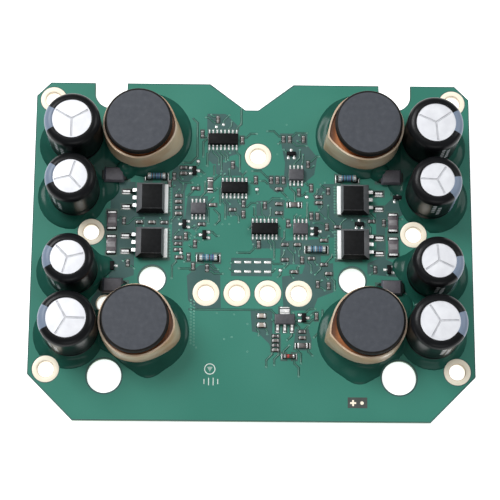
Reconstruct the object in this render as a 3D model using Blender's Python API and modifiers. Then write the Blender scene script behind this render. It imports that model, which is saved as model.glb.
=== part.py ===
"""Power circuit board of a motor drive: a four-phase supply and driver stage on one board.

Run with: blender --background --python part.py
Metres, +Z up. The origin is under the middle of the board, on the surface that its clipped leads
stand on. +X runs along the board's long side and +Y towards the edge with the notch and slots.
"""

import math

import bmesh
import bpy
from mathutils import Matrix

# Sizes are in metres. A part's place is in millimetres from the board's middle, as on a placement drawing.
MM = 0.001

# Board outline
BOARD_WIDTH = 142.0 * MM
BOARD_DEPTH = 111.5 * MM
BOARD_THICKNESS = 1.6 * MM
BACK_CORNER_CUT = 4.6 * MM
FRONT_CORNER_CUT = 14.5 * MM
SLOT_X = 46.6 * MM
SLOT_WIDTH = 10.4 * MM
SLOT_DEPTH = 8.6 * MM
NOTCH_X = -0.4 * MM
NOTCH_MOUTH = 27.4 * MM
NOTCH_FLOOR = 4.2 * MM
NOTCH_DEPTH = 8.9 * MM

# Holes; those with one place for two are drilled on the left and the right alike
SCREW_HOLE_RADIUS = 2.6 * MM
MIRRORED_SCREW_HOLES = [(65.4, 49.8), (52.0, 5.2), (65.2, -39.6), (47.0, -18.4)]
CENTRE_SCREW_HOLE = (1.7, 31.1)
TERMINAL_X = [-14.8, -4.9, 5.0, 14.9]
TERMINAL_Y = -14.6
TERMINAL_RING_RADIUS = 4.25 * MM
TERMINAL_RING_RISE = 0.1 * MM
LARGE_HOLE = (46.7, -41.6)
LARGE_HOLE_RADIUS = 5.45 * MM
MIDDLE_HOLE = (32.1, -10.1)
MIDDLE_HOLE_RADIUS = 4.25 * MM

# Through-hole leads
LEAD_STUB = 1.5 * MM
LEAD_HOLE_RADIUS = 0.7 * MM
SEAT = 0.3 * MM
SURFACE_GAP = 0.08 * MM
BOARD_BOTTOM = LEAD_STUB
BOARD_TOP = BOARD_BOTTOM + BOARD_THICKNESS

# Capacitors: a large one at each end of a row, two smaller ones between
CAPACITOR_X = 57.5
LARGE_CAPACITOR_Y = [36.8, -27.0]
SMALL_CAPACITOR_Y = [18.0, -8.0]
LARGE_CAPACITOR_RADIUS = 8.9 * MM
SMALL_CAPACITOR_RADIUS = 8.1 * MM
CAPACITOR_HEIGHT = 20.0 * MM
CAPACITOR_SHOULDER = 1.3 * MM
CAPACITOR_LIP = 2.5 * MM
CAPACITOR_LEAD_PITCH = 7.5 * MM
CAPACITOR_LEAD_RADIUS = 0.4 * MM
SLEEVE_WALL = 0.3 * MM
SLEEVE_GAP = 0.06 * MM

# Inductors: a ferrite drum, its winding, and a pinched wrap around both
INDUCTOR_X = 36.7
INDUCTOR_Y = [37.9, -26.1]
INDUCTOR_HEIGHT = 16.0 * MM
CORE_RADIUS = 10.75 * MM
CORE_FOOT_RADIUS = 9.4 * MM
CORE_POST_RADIUS = 5.5 * MM
CORE_FLANGE = 2.6 * MM
CORE_FOOT = 2.0 * MM
WINDING_RADIUS = 10.2 * MM
WINDING_GAP = 0.15 * MM
WINDING_LEAD_RADIUS = 0.45 * MM
WINDING_LEAD_REACH = 10.3 * MM
WRAP_RADIUS = 11.5 * MM
WRAP_WALL = 0.6 * MM
WRAP_TOP = 12.4 * MM
WRAP_TIP_REACH = 14.4 * MM
WRAP_TIP_ANGLE = math.radians(-17)

# Power transistors, their tabs facing the board's middle
TRANSISTOR_X = 33.2
TRANSISTOR_Y = [16.2, 1.4]
TRANSISTOR_BODY = (8.7 * MM, 10.2 * MM, 4.4 * MM)
TRANSISTOR_TAB = (7.6 * MM, 9.6 * MM, 1.25 * MM)
TRANSISTOR_TAB_REACH = 1.5 * MM
TRANSISTOR_LEAD_PITCH = 2.54 * MM
TRANSISTOR_LEAD_WIDTH = 1.0 * MM
TRANSISTOR_LEAD_THICKNESS = 0.5 * MM

# Small parts
DIODE_SIZE = (6.6 * MM, 5.0 * MM, 2.4 * MM)
DIODE_PLACES = [(44.9, 24.0), (44.6, -12.7)]
SHUNT_SIZE = (3.2 * MM, 6.3 * MM, 0.65 * MM)
SHUNT_X = 45.4
SHUNT_Y = [9.0, 1.0]
MELF_RADIUS = 1.1 * MM
MELF_LENGTH = 5.8 * MM
MELF_PLACES = [(-31.2, 23.8), (30.7, 23.6), (-14.2, -3.2), (20.6, -0.1)]
SMALL_MELF_RADIUS = 0.7 * MM
SMALL_MELF_LENGTH = 3.5 * MM
SMALL_MELF_PLACE = (11.8, -35.0)
CHIP_DEPTH = 3.9 * MM
CHIP_HEIGHT = 1.5 * MM
PIN_PITCH = 1.27 * MM
# name: (x, y, pins on each side, body length)
CHIPS = {
    "controller_chip": (-9.8, 36.6, 8, 9.9),
    "logic_chip_1": (-5.9, 20.2, 7, 8.65),
    "logic_chip_2": (3.9, 6.6, 7, 8.65),
    "driver_chip_1": (14.1, 24.7, 4, 4.9),
    "driver_chip_2": (-17.6, 13.1, 4, 4.9),
    "driver_chip_3": (15.5, 6.6, 4, 4.9),
}
REGULATOR_PLACE = (10.4, -23.2)
REGULATOR_BODY = (6.5 * MM, 3.5 * MM, 1.6 * MM)
REGULATOR_PIN_PITCH = 2.3 * MM
CHIP_RESISTOR_SIZE = (3.2 * MM, 1.6 * MM, 0.55 * MM)
# (x, y, degrees)
CHIP_RESISTOR_PLACES = [(-13.8, 21.2, 90), (13.5, 14.8, 0), (16.1, -31.5, 0)]

ROUND_STEPS = 24
MELF_STEPS = 12
SHOULDER_STEPS = 2
MERGE = 1e-6


# Scene and object helpers


def clear_scene():
    for obj in list(bpy.data.objects):
        bpy.data.objects.remove(obj, do_unlink=True)


def new_collection(name):
    collection = bpy.data.collections.new(name)
    bpy.context.scene.collection.children.link(collection)
    return collection


def new_material(name, colour, roughness, metallic=0.0):
    material = bpy.data.materials.new(name)
    material.use_nodes = True
    shader = material.node_tree.nodes["Principled BSDF"]
    shader.inputs["Base Color"].default_value = (*colour, 1.0)
    shader.inputs["Roughness"].default_value = roughness
    shader.inputs["Metallic"].default_value = metallic
    return material


def add_object(name, data, collection):
    obj = bpy.data.objects.new(name, data)
    collection.objects.link(obj)
    return obj


def as_mesh(obj, name):
    """The object as its modifiers leave it, as a plain welded mesh in its own frame; the object goes."""
    bpy.context.view_layer.update()
    evaluated = obj.evaluated_get(bpy.context.evaluated_depsgraph_get())
    mesh = bpy.data.meshes.new_from_object(evaluated)
    mesh.name = name
    mesh.transform(obj.matrix_world)
    bpy.data.objects.remove(obj, do_unlink=True)
    solid = bmesh.new()
    solid.from_mesh(mesh)
    bmesh.ops.remove_doubles(solid, verts=solid.verts, dist=MERGE)
    bmesh.ops.recalc_face_normals(solid, faces=solid.faces)
    solid.to_mesh(mesh)
    solid.free()
    return mesh


def gathered(name, pieces):
    """One mesh of several (mesh, matrix) pieces, each still a shell of its own."""
    together = bmesh.new()
    for mesh, matrix in pieces:
        copy = mesh.copy()
        copy.transform(matrix)
        together.from_mesh(copy)
        bpy.data.meshes.remove(copy)
    result = bpy.data.meshes.new(name)
    together.to_mesh(result)
    together.free()
    return result


def combined(name, base, other, operation):
    """The union or difference of two closed meshes, as one mesh."""
    body = add_object(name, base, PART)
    tool = add_object(name + "_tool", other, CUTTERS)
    tool.hide_render = True
    tool.display_type = "WIRE"
    join = body.modifiers.new("join", "BOOLEAN")
    join.operation = operation
    join.object = tool
    mesh = as_mesh(body, name)
    bpy.data.objects.remove(tool, do_unlink=True)
    return mesh


def place(name, mesh, material, x, y, z, angle=0.0):
    """A named piece of the board at (x, y) millimetres and height z, turned about Z."""
    if not mesh.materials:
        mesh.materials.append(material)
        mesh.shade_smooth()
        mesh.set_sharp_from_angle(angle=math.radians(35))
    obj = add_object(name, mesh, PART)
    obj.location = (x * MM, y * MM, z)
    obj.rotation_euler.z = angle
    return obj


# Shapes


def circle(x, y, radius, steps):
    """A circle whose first point faces away from the origin, so that few circles' points line up."""
    angles = [math.atan2(y, x) + math.tau * i / steps for i in range(steps)]
    return [(x + radius * math.cos(a), y + radius * math.sin(a)) for a in angles]


def arc(x, y, radius, start, end, steps):
    """Points from angle start to end, in degrees, with both ends."""
    angles = [math.radians(start + (end - start) * i / steps) for i in range(steps + 1)]
    return [(x + radius * math.cos(a), y + radius * math.sin(a)) for a in angles]


def flat_plate(name, loops, thickness):
    """A flat outline with holes, standing on z = 0: the first loop is the rim, the others are holes."""
    curve = bpy.data.curves.new(name, "CURVE")
    curve.dimensions = "2D"
    curve.fill_mode = "BOTH"
    curve.extrude = thickness / 2
    for loop in loops:
        spline = curve.splines.new("POLY")
        spline.points.add(len(loop) - 1)
        for point, (x, y) in zip(spline.points, loop):
            point.co = (x, y, 0.0, 1.0)
        spline.use_cyclic_u = True
    obj = add_object(name, curve, PART)
    obj.location.z = thickness / 2
    return as_mesh(obj, name)


def turned(name, profile, closed=False, steps=ROUND_STEPS):
    """A (radius, height) profile, listed down its outer side, turned round Z."""
    outline = bpy.data.meshes.new(name)
    edges = [(i, i + 1) for i in range(len(profile) - 1)]
    if closed:
        edges.append((len(profile) - 1, 0))
    outline.from_pydata([(radius, 0.0, height) for radius, height in profile], edges, [])
    obj = add_object(name, outline, PART)
    screw = obj.modifiers.new("turn", "SCREW")
    screw.steps = steps
    screw.render_steps = steps
    screw.use_merge_vertices = True
    screw.merge_threshold = MERGE
    return as_mesh(obj, name)


def block(name, size, taper=0.0, bevel=0.0):
    """A block standing on z = 0, its top drawn in by taper on every side."""
    solid = bmesh.new()
    bmesh.ops.create_cube(solid, size=1.0)
    for vert in solid.verts:
        inset = taper if vert.co.z > 0 else 0.0
        vert.co.x *= size[0] - 2 * inset
        vert.co.y *= size[1] - 2 * inset
        vert.co.z = (vert.co.z + 0.5) * size[2]
    mesh = bpy.data.meshes.new(name)
    solid.to_mesh(mesh)
    solid.free()
    if not bevel:
        return mesh
    obj = add_object(name, mesh, PART)
    rounding = obj.modifiers.new("rounding", "BEVEL")
    rounding.width = bevel
    rounding.segments = 1
    return as_mesh(obj, name)


def wire(name, points, radius):
    curve = bpy.data.curves.new(name, "CURVE")
    curve.dimensions = "3D"
    curve.bevel_depth = radius
    curve.bevel_resolution = 1
    curve.use_fill_caps = True
    spline = curve.splines.new("POLY")
    spline.points.add(len(points) - 1)
    for point, position in zip(spline.points, points):
        point.co = (*position, 1.0)
    return as_mesh(add_object(name, curve, PART), name)


def bent_strip(name, path, width, thickness):
    """A flat strip bent along an (x, z) path: its upper side follows the path, its width lies along Y."""
    curve = bpy.data.curves.new(name, "CURVE")
    curve.dimensions = "2D"
    curve.fill_mode = "NONE"
    curve.extrude = width / 2
    spline = curve.splines.new("POLY")
    spline.points.add(len(path) - 1)
    for point, (x, z) in zip(spline.points, path):
        point.co = (x, z, 0.0, 1.0)
    obj = add_object(name, curve, PART)
    obj.rotation_euler.x = math.pi / 2
    sheet = add_object(name, as_mesh(obj, name), PART)
    wall = sheet.modifiers.new("wall", "SOLIDIFY")
    wall.thickness = thickness
    wall.offset = 0.0
    wall.use_even_offset = True
    return as_mesh(sheet, name)


# The board


def board_outline():
    half_width, back = BOARD_WIDTH / 2, BOARD_DEPTH / 2
    round_y = back - SLOT_DEPTH + SLOT_WIDTH / 2
    right_slot = arc(SLOT_X, round_y, SLOT_WIDTH / 2, 0, -180, 10)
    left_slot = arc(-SLOT_X, round_y, SLOT_WIDTH / 2, 0, -180, 10)
    return [
        (-half_width, -back + FRONT_CORNER_CUT),
        (-half_width + FRONT_CORNER_CUT, -back),
        (half_width - FRONT_CORNER_CUT, -back),
        (half_width, -back + FRONT_CORNER_CUT),
        (half_width, back - BACK_CORNER_CUT),
        (half_width - BACK_CORNER_CUT, back),
        (SLOT_X + SLOT_WIDTH / 2, back),
        *right_slot,
        (SLOT_X - SLOT_WIDTH / 2, back),
        (NOTCH_X + NOTCH_MOUTH / 2, back),
        (NOTCH_X + NOTCH_FLOOR / 2, back - NOTCH_DEPTH),
        (NOTCH_X - NOTCH_FLOOR / 2, back - NOTCH_DEPTH),
        (NOTCH_X - NOTCH_MOUTH / 2, back),
        (-SLOT_X + SLOT_WIDTH / 2, back),
        *left_slot,
        (-SLOT_X - SLOT_WIDTH / 2, back),
        (-half_width + BACK_CORNER_CUT, back),
        (-half_width, back - BACK_CORNER_CUT),
    ]


def lead_places():
    """Where the capacitors' and inductors' leads pass through the board."""
    places = []
    for side in (-1, 1):
        for y in LARGE_CAPACITOR_Y + SMALL_CAPACITOR_Y:
            for end in (-1, 1):
                places.append((side * CAPACITOR_X * MM + end * CAPACITOR_LEAD_PITCH / 2, y * MM))
        for y in INDUCTOR_Y:
            for end in (-1, 1):
                places.append((side * INDUCTOR_X * MM + end * WINDING_LEAD_REACH, y * MM))
    return places


def board_mesh():
    """The laminate with all its holes, and a raised plated ring round each terminal hole."""
    loops = [board_outline()]
    for side in (-1, 1):
        loops.append(circle(side * LARGE_HOLE[0] * MM, LARGE_HOLE[1] * MM, LARGE_HOLE_RADIUS, 32))
        loops.append(circle(side * MIDDLE_HOLE[0] * MM, MIDDLE_HOLE[1] * MM, MIDDLE_HOLE_RADIUS, 28))
        for x, y in MIRRORED_SCREW_HOLES:
            loops.append(circle(side * x * MM, y * MM, SCREW_HOLE_RADIUS, 20))
    for x, y in [CENTRE_SCREW_HOLE] + [(x, TERMINAL_Y) for x in TERMINAL_X]:
        loops.append(circle(x * MM, y * MM, SCREW_HOLE_RADIUS, 20))
    for x, y in lead_places():
        loops.append(circle(x, y, LEAD_HOLE_RADIUS, 8))
    board = flat_plate("circuit_board", loops, BOARD_THICKNESS)
    root, top = BOARD_THICKNESS / 2, BOARD_THICKNESS + TERMINAL_RING_RISE
    bore = SCREW_HOLE_RADIUS + TERMINAL_RING_RISE
    rim = TERMINAL_RING_RADIUS
    ring = turned("terminal_ring", [(bore, top), (rim, top), (rim, root), (bore, root)], closed=True)
    spots = [Matrix.Translation((x * MM, TERMINAL_Y * MM, 0)) for x in TERMINAL_X]
    rings = gathered("terminal_rings", [(ring, spot) for spot in spots])
    return combined("circuit_board", board, rings, "UNION")


# Capacitors


def can_wall(radius):
    return radius - SLEEVE_WALL - SLEEVE_GAP


def can_mesh(name, radius):
    """The aluminium can with its seal and its two leads, standing on z = 0."""
    wall = can_wall(radius)
    recess = 0.25 * MM
    profile = [
        (0.0, CAPACITOR_HEIGHT - recess),
        (radius - CAPACITOR_LIP - 2 * recess, CAPACITOR_HEIGHT - recess),
        (radius - CAPACITOR_LIP - recess, CAPACITOR_HEIGHT),
        (wall - CAPACITOR_SHOULDER, CAPACITOR_HEIGHT),
        (wall, CAPACITOR_HEIGHT - CAPACITOR_SHOULDER),
        (wall, 0.0),
        (0.0, 0.0),
    ]
    can = turned(name, profile)
    lead_length = SEAT + BOARD_THICKNESS + LEAD_STUB
    lead = wire("lead", [(0, 0, -lead_length), (0, 0, 1.0 * MM)], CAPACITOR_LEAD_RADIUS)
    half = CAPACITOR_LEAD_PITCH / 2
    leads = gathered("leads", [(lead, Matrix.Translation((end * half, 0, 0))) for end in (-1, 1)])
    return combined(name, can, leads, "UNION")


def sleeve_mesh(name, radius):
    """The shrunk sleeve: a thin tube whose top lip lies on the can's shoulder."""
    inside = can_wall(radius) + SLEEVE_GAP
    lip = radius - CAPACITOR_LIP
    inner_top = CAPACITOR_HEIGHT + SLEEVE_GAP
    top = inner_top + SLEEVE_WALL
    corner = CAPACITOR_SHOULDER + SLEEVE_WALL
    hem = 0.4 * MM
    profile = [
        (lip, top),
        *arc(radius - corner, top - corner, corner, 90, 0, SHOULDER_STEPS),
        (radius, hem),
        (inside, hem),
        (inside, inner_top - CAPACITOR_SHOULDER),
        (inside - CAPACITOR_SHOULDER, inner_top),
        (lip, inner_top),
    ]
    return turned(name, profile, closed=True)


def add_capacitors(metal, sleeve_material):
    """Rows of four on the left and on the right, numbered from the back to the front."""
    sizes = [(y, "large") for y in LARGE_CAPACITOR_Y] + [(y, "small") for y in SMALL_CAPACITOR_Y]
    cans = {
        "large": can_mesh("large_can", LARGE_CAPACITOR_RADIUS),
        "small": can_mesh("small_can", SMALL_CAPACITOR_RADIUS),
    }
    sleeves = {
        "large": sleeve_mesh("large_sleeve", LARGE_CAPACITOR_RADIUS),
        "small": sleeve_mesh("small_sleeve", SMALL_CAPACITOR_RADIUS),
    }
    for side, side_name in ((-1, "left"), (1, "right")):
        for number, (y, size) in enumerate(sorted(sizes, reverse=True), 1):
            name = f"capacitor_{side_name}_{number}"
            x, z = side * CAPACITOR_X, BOARD_TOP + SEAT
            place(name + "_can", cans[size], metal, x, y, z)
            place(name + "_sleeve", sleeves[size], sleeve_material, x, y, z)


# Inductors


def core_mesh():
    """A ferrite drum: a wide flange on top, a post, and a smaller foot."""
    edge = 0.3 * MM
    profile = [
        (0.0, INDUCTOR_HEIGHT),
        (CORE_RADIUS - edge, INDUCTOR_HEIGHT),
        (CORE_RADIUS, INDUCTOR_HEIGHT - edge),
        (CORE_RADIUS, INDUCTOR_HEIGHT - CORE_FLANGE),
        (CORE_POST_RADIUS, INDUCTOR_HEIGHT - CORE_FLANGE),
        (CORE_POST_RADIUS, CORE_FOOT),
        (CORE_FOOT_RADIUS, CORE_FOOT),
        (CORE_FOOT_RADIUS, 0.0),
        (0.0, 0.0),
    ]
    return turned("inductor_core", profile)


def winding_mesh():
    """The copper coil between the flanges, and its two ends bent down through the board."""
    top = INDUCTOR_HEIGHT - CORE_FLANGE - WINDING_GAP
    bottom = CORE_FOOT + WINDING_GAP
    profile = [
        (CORE_POST_RADIUS + WINDING_GAP, top),
        (WINDING_RADIUS, top),
        (WINDING_RADIUS, bottom),
        (CORE_POST_RADIUS + WINDING_GAP, bottom),
    ]
    coil = turned("winding", profile, closed=True)
    down = SEAT + BOARD_THICKNESS + LEAD_STUB
    path = [
        (WINDING_RADIUS - 1.5 * MM, 0, bottom + 2.0 * MM),
        (WINDING_LEAD_REACH, 0, bottom + 1.0 * MM),
        (WINDING_LEAD_REACH, 0, -down),
    ]
    end = wire("winding_end", path, WINDING_LEAD_RADIUS)
    ends = gathered("winding_ends", [(end, Matrix.Rotation(turn, 4, "Z")) for turn in (0, math.pi)])
    return combined("winding", coil, ends, "UNION")


def wrap_loop(radius, reach):
    """A circle drawn out to a point at +X by its two tangents."""
    open_angle = math.degrees(math.acos(radius / reach))
    return [(reach, 0.0), *arc(0, 0, radius, open_angle, 360 - open_angle, 26)]


def wrap_mesh():
    loops = [
        wrap_loop(WRAP_RADIUS, WRAP_TIP_REACH),
        wrap_loop(WRAP_RADIUS - WRAP_WALL, WRAP_TIP_REACH - WRAP_WALL - 0.4 * MM),
    ]
    return flat_plate("inductor_wrap", loops, WRAP_TOP)


def add_inductors(ferrite, copper, paper):
    """One at each corner of the board's middle field, the wrap's point turned to the middle."""
    core, winding, wrap = core_mesh(), winding_mesh(), wrap_mesh()
    z = BOARD_TOP + SEAT
    for side, side_name in ((-1, "left"), (1, "right")):
        tip_angle = WRAP_TIP_ANGLE if side < 0 else math.pi - WRAP_TIP_ANGLE
        for row_name, y in zip(("back", "front"), INDUCTOR_Y):
            name = f"inductor_{row_name}_{side_name}"
            place(name + "_core", core, ferrite, side * INDUCTOR_X, y, z)
            place(name + "_winding", winding, copper, side * INDUCTOR_X, y, z)
            place(name + "_wrap", wrap, paper, side * INDUCTOR_X, y, z, tip_angle)


# Power transistors


def transistor_body_mesh():
    """The moulded body with its leads at +X, and a pocket underneath for the tab."""
    length, depth, height = TRANSISTOR_BODY
    body = block("transistor_body", TRANSISTOR_BODY, 0.4 * MM, 0.1 * MM)
    tab_length, tab_depth, tab_height = TRANSISTOR_TAB
    clearance = 0.12 * MM
    pocket_size = (tab_length + length, tab_depth + 2 * clearance, 2 * tab_height + clearance)
    pocket = block("pocket", pocket_size)
    tab_end = length / 2 + TRANSISTOR_TAB_REACH - tab_length
    pocket.transform(Matrix.Translation((-tab_end - pocket_size[0] / 2 + clearance, 0, -tab_height)))
    body = combined("transistor_body", body, pocket, "DIFFERENCE")
    middle = TRANSISTOR_LEAD_THICKNESS / 2
    start = length / 2 - 0.8 * MM
    path = [(start, 2.5 * MM), (length / 2 + 1.5 * MM, 2.5 * MM)]
    long_path = path + [(length / 2 + 2.6 * MM, middle), (length / 2 + 5.1 * MM, middle)]
    short = bent_strip("short_lead", path, TRANSISTOR_LEAD_WIDTH, TRANSISTOR_LEAD_THICKNESS)
    long = bent_strip("long_lead", long_path, TRANSISTOR_LEAD_WIDTH, TRANSISTOR_LEAD_THICKNESS)
    pieces = [(short, Matrix())]
    for side in (-1, 1):
        pieces.append((long, Matrix.Translation((0, side * TRANSISTOR_LEAD_PITCH, 0))))
    return combined("transistor_body", body, gathered("leads", pieces), "UNION")


def add_transistors(plastic, tinned):
    body = transistor_body_mesh()
    tab = block("transistor_tab", TRANSISTOR_TAB, 0.0, 0.1 * MM)
    tab_x = TRANSISTOR_BODY[0] / 2 + TRANSISTOR_TAB_REACH - TRANSISTOR_TAB[0] / 2
    tab.transform(Matrix.Translation((-tab_x, 0, 0)))
    z = BOARD_TOP + SURFACE_GAP
    for side, side_name in ((-1, "left"), (1, "right")):
        turn = math.pi if side < 0 else 0.0
        for row_name, y in zip(("back", "front"), TRANSISTOR_Y):
            name = f"transistor_{row_name}_{side_name}"
            place(name + "_body", body, plastic, side * TRANSISTOR_X, y, z, turn)
            place(name + "_tab", tab, tinned, side * TRANSISTOR_X, y, z, turn)


# Chips and small parts


def chip_mesh(name, length, pins):
    """A moulded chip with a row of gull-wing pins along its front and its back."""
    body = block(name, (length, CHIP_DEPTH, CHIP_HEIGHT), 0.12 * MM)
    body.transform(Matrix.Translation((0, 0, 0.12 * MM)))
    thickness = 0.2 * MM
    edge = CHIP_DEPTH / 2
    path = [
        (edge - 0.3 * MM, 0.75 * MM),
        (edge + 0.3 * MM, 0.75 * MM),
        (edge + 0.5 * MM, thickness / 2),
        (edge + 1.05 * MM, thickness / 2),
    ]
    pin = bent_strip("pin", path, 0.42 * MM, thickness)
    pieces = []
    for facing in (math.pi / 2, -math.pi / 2):
        for i in range(pins):
            along = (i - (pins - 1) / 2) * PIN_PITCH
            pieces.append((pin, Matrix.Translation((along, 0, 0)) @ Matrix.Rotation(facing, 4, "Z")))
    return combined(name, body, gathered("pins", pieces), "UNION")


def add_chips(plastic):
    meshes = {}
    for name, (x, y, pins, length) in CHIPS.items():
        if pins not in meshes:
            meshes[pins] = chip_mesh(f"chip_{pins}", length * MM, pins)
        place(name, meshes[pins], plastic, x, y, BOARD_TOP + SURFACE_GAP)


def add_regulator(plastic):
    """A moulded regulator with three pins at the front and its wide tab at the back."""
    body = block("regulator", REGULATOR_BODY, 0.25 * MM)
    body.transform(Matrix.Translation((0, 0, 0.06 * MM)))
    thickness = 0.26 * MM
    edge = REGULATOR_BODY[1] / 2
    path = [
        (edge - 0.6 * MM, 0.85 * MM),
        (edge + 0.45 * MM, 0.85 * MM),
        (edge + 0.75 * MM, thickness / 2),
        (edge + 1.75 * MM, thickness / 2),
    ]
    pin = bent_strip("pin", path, 0.7 * MM, thickness)
    tab = bent_strip("tab", path, 3.0 * MM, thickness)
    pieces = [(tab, Matrix.Rotation(math.pi / 2, 4, "Z"))]
    for i in (-1, 0, 1):
        along = Matrix.Translation((i * REGULATOR_PIN_PITCH, 0, 0))
        pieces.append((pin, along @ Matrix.Rotation(-math.pi / 2, 4, "Z")))
    mesh = combined("regulator", body, gathered("pins", pieces), "UNION")
    place("voltage_regulator", mesh, plastic, *REGULATOR_PLACE, BOARD_TOP + SURFACE_GAP)


def diode_mesh():
    """A moulded diode with a flat tinned end wrapped under each short side."""
    length, depth, height = DIODE_SIZE
    body = block("diode", (length, depth, height), 0.35 * MM)
    body.transform(Matrix.Translation((0, 0, 0.1 * MM)))
    thickness = 0.25 * MM
    edge = length / 2
    path = [
        (edge - 0.8 * MM, 1.3 * MM),
        (edge + 0.35 * MM, 1.3 * MM),
        (edge + 0.35 * MM, thickness / 2),
        (edge - 1.0 * MM, thickness / 2),
    ]
    end = bent_strip("diode_end", path, 3.0 * MM, thickness)
    ends = gathered("diode_ends", [(end, Matrix.Rotation(turn, 4, "Z")) for turn in (0, math.pi)])
    return combined("diode", body, ends, "UNION")


def melf_mesh(name, radius, length):
    """A round resistor or diode lying along X, with a metal cap on each end."""
    half, cap, step = length / 2, length * 0.2, radius * 0.08
    profile = [
        (0.0, half),
        (radius, half),
        (radius, half - cap),
        (radius - step, half - cap),
        (radius - step, cap - half),
        (radius, cap - half),
        (radius, -half),
        (0.0, -half),
    ]
    mesh = turned(name, profile, steps=MELF_STEPS)
    mesh.transform(Matrix.Rotation(math.pi / 2, 4, "Y"))
    mesh.transform(Matrix.Translation((0, 0, radius)))
    return mesh


def add_small_parts(plastic, ceramic, lacquer):
    z = BOARD_TOP + SURFACE_GAP
    diode = diode_mesh()
    shunt = block("shunt", SHUNT_SIZE, 0.0, 0.06 * MM)
    for side, side_name in ((-1, "left"), (1, "right")):
        for row_name, (x, y) in zip(("back", "front"), DIODE_PLACES):
            place(f"power_diode_{row_name}_{side_name}", diode, plastic, side * x, y, z)
        for row_name, y in zip(("back", "front"), SHUNT_Y):
            place(f"shunt_resistor_{row_name}_{side_name}", shunt, ceramic, side * SHUNT_X, y, z)
    melf = melf_mesh("round_resistor", MELF_RADIUS, MELF_LENGTH)
    for number, (x, y) in enumerate(MELF_PLACES, 1):
        place(f"round_resistor_{number}", melf, lacquer, x, y, z)
    small_melf = melf_mesh("signal_diode", SMALL_MELF_RADIUS, SMALL_MELF_LENGTH)
    place("signal_diode", small_melf, lacquer, *SMALL_MELF_PLACE, z)
    resistor = block("chip_resistor", CHIP_RESISTOR_SIZE, 0.0, 0.05 * MM)
    for number, (x, y, degrees) in enumerate(CHIP_RESISTOR_PLACES, 1):
        place(f"chip_resistor_{number}", resistor, ceramic, x, y, z, math.radians(degrees))


clear_scene()
PART = new_collection("motor_drive_power_board")
CUTTERS = new_collection("cutters")
solder_mask = new_material("green_solder_mask", (0.03, 0.22, 0.14), 0.35)
aluminium = new_material("can_aluminium", (0.78, 0.78, 0.80), 0.4, 1.0)
black_sleeve = new_material("black_sleeve", (0.012, 0.012, 0.014), 0.25)
ferrite = new_material("ferrite", (0.085, 0.09, 0.105), 0.6)
enamelled_copper = new_material("enamelled_copper", (0.35, 0.13, 0.05), 0.3, 0.6)
tan_wrap = new_material("tan_wrap", (0.42, 0.33, 0.22), 0.55)
black_plastic = new_material("moulded_plastic", (0.02, 0.02, 0.022), 0.5)
tinned_metal = new_material("tinned_metal", (0.62, 0.63, 0.62), 0.35, 1.0)
chip_ceramic = new_material("resistor_ceramic", (0.10, 0.10, 0.11), 0.5)
blue_lacquer = new_material("blue_lacquer", (0.05, 0.20, 0.38), 0.3)

place("circuit_board", board_mesh(), solder_mask, 0, 0, BOARD_BOTTOM)
add_capacitors(aluminium, black_sleeve)
add_inductors(ferrite, enamelled_copper, tan_wrap)
add_transistors(black_plastic, tinned_metal)
add_chips(black_plastic)
add_regulator(black_plastic)
add_small_parts(black_plastic, chip_ceramic, blue_lacquer)
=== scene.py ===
"""Looks of a motor drive power board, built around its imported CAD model."""

import math
import random

import bmesh
import bpy
from mathutils import Matrix, Vector
from mathutils.geometry import delaunay_2d_cdt


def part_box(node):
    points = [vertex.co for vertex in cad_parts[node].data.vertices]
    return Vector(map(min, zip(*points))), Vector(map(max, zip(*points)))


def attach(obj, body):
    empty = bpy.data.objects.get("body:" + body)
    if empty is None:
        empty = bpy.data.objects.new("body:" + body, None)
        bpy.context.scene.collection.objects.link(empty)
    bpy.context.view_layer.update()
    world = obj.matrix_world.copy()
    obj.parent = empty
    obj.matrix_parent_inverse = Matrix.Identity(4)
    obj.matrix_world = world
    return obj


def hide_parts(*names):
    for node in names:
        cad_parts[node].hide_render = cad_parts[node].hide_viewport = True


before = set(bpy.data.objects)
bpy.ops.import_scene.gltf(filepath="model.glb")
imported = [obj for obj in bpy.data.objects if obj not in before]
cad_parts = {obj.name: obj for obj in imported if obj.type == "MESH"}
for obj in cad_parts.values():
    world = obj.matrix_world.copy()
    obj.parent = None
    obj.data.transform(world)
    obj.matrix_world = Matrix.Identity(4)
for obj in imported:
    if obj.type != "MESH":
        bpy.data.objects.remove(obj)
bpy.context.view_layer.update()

# The bare board: woven glass in epoxy, 1.6 mm thick, routed to its outline and drilled. Each face has
# a layer of copper under green solder mask, so the mask is brighter over copper and greyer over glass.
# Places on the board are in millimetres from its middle, and heights in millimetres above its top face.
MM = 0.001
board_thickness = 1.6
board_low, board_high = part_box("circuit_board")
board_bottom = board_low.z
board_top = board_bottom + board_thickness * MM
half_width, half_depth = board_high.x / MM, board_high.y / MM

bore_radius, lead_hole_radius = 2.6, 0.7
hidden_hole = (47.0, -18.4)
mirrored_screw_holes = [(65.4, 49.8), (52.0, 5.2), (65.2, -39.6), hidden_hole]
terminal_holes = [(x, -14.6) for x in (-14.8, -4.9, 5.0, 14.9)]
screw_holes = [(1.7, 31.1)] + terminal_holes
screw_holes += [(side * x, y) for side in (-1, 1) for x, y in mirrored_screw_holes]
plain_holes = [(side * 46.7, -41.6, 5.45) for side in (-1, 1)]
plain_holes += [(side * 32.1, -10.1, 4.25) for side in (-1, 1)]
capacitor_places = [(side * 57.5, y) for side in (-1, 1) for y in (36.8, 18.0, -8.0, -27.0)]
inductor_places = [(side * 36.7, y) for side in (-1, 1) for y in (37.9, -26.1)]
capacitor_lead_reach, inductor_lead_reach = 3.75, 10.3
capacitor_leads = [(x + end * capacitor_lead_reach, y) for x, y in capacitor_places for end in (-1, 1)]
inductor_leads = [(x + end * inductor_lead_reach, y) for x, y in inductor_places for end in (-1, 1)]
lead_holes = capacitor_leads + inductor_leads
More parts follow.
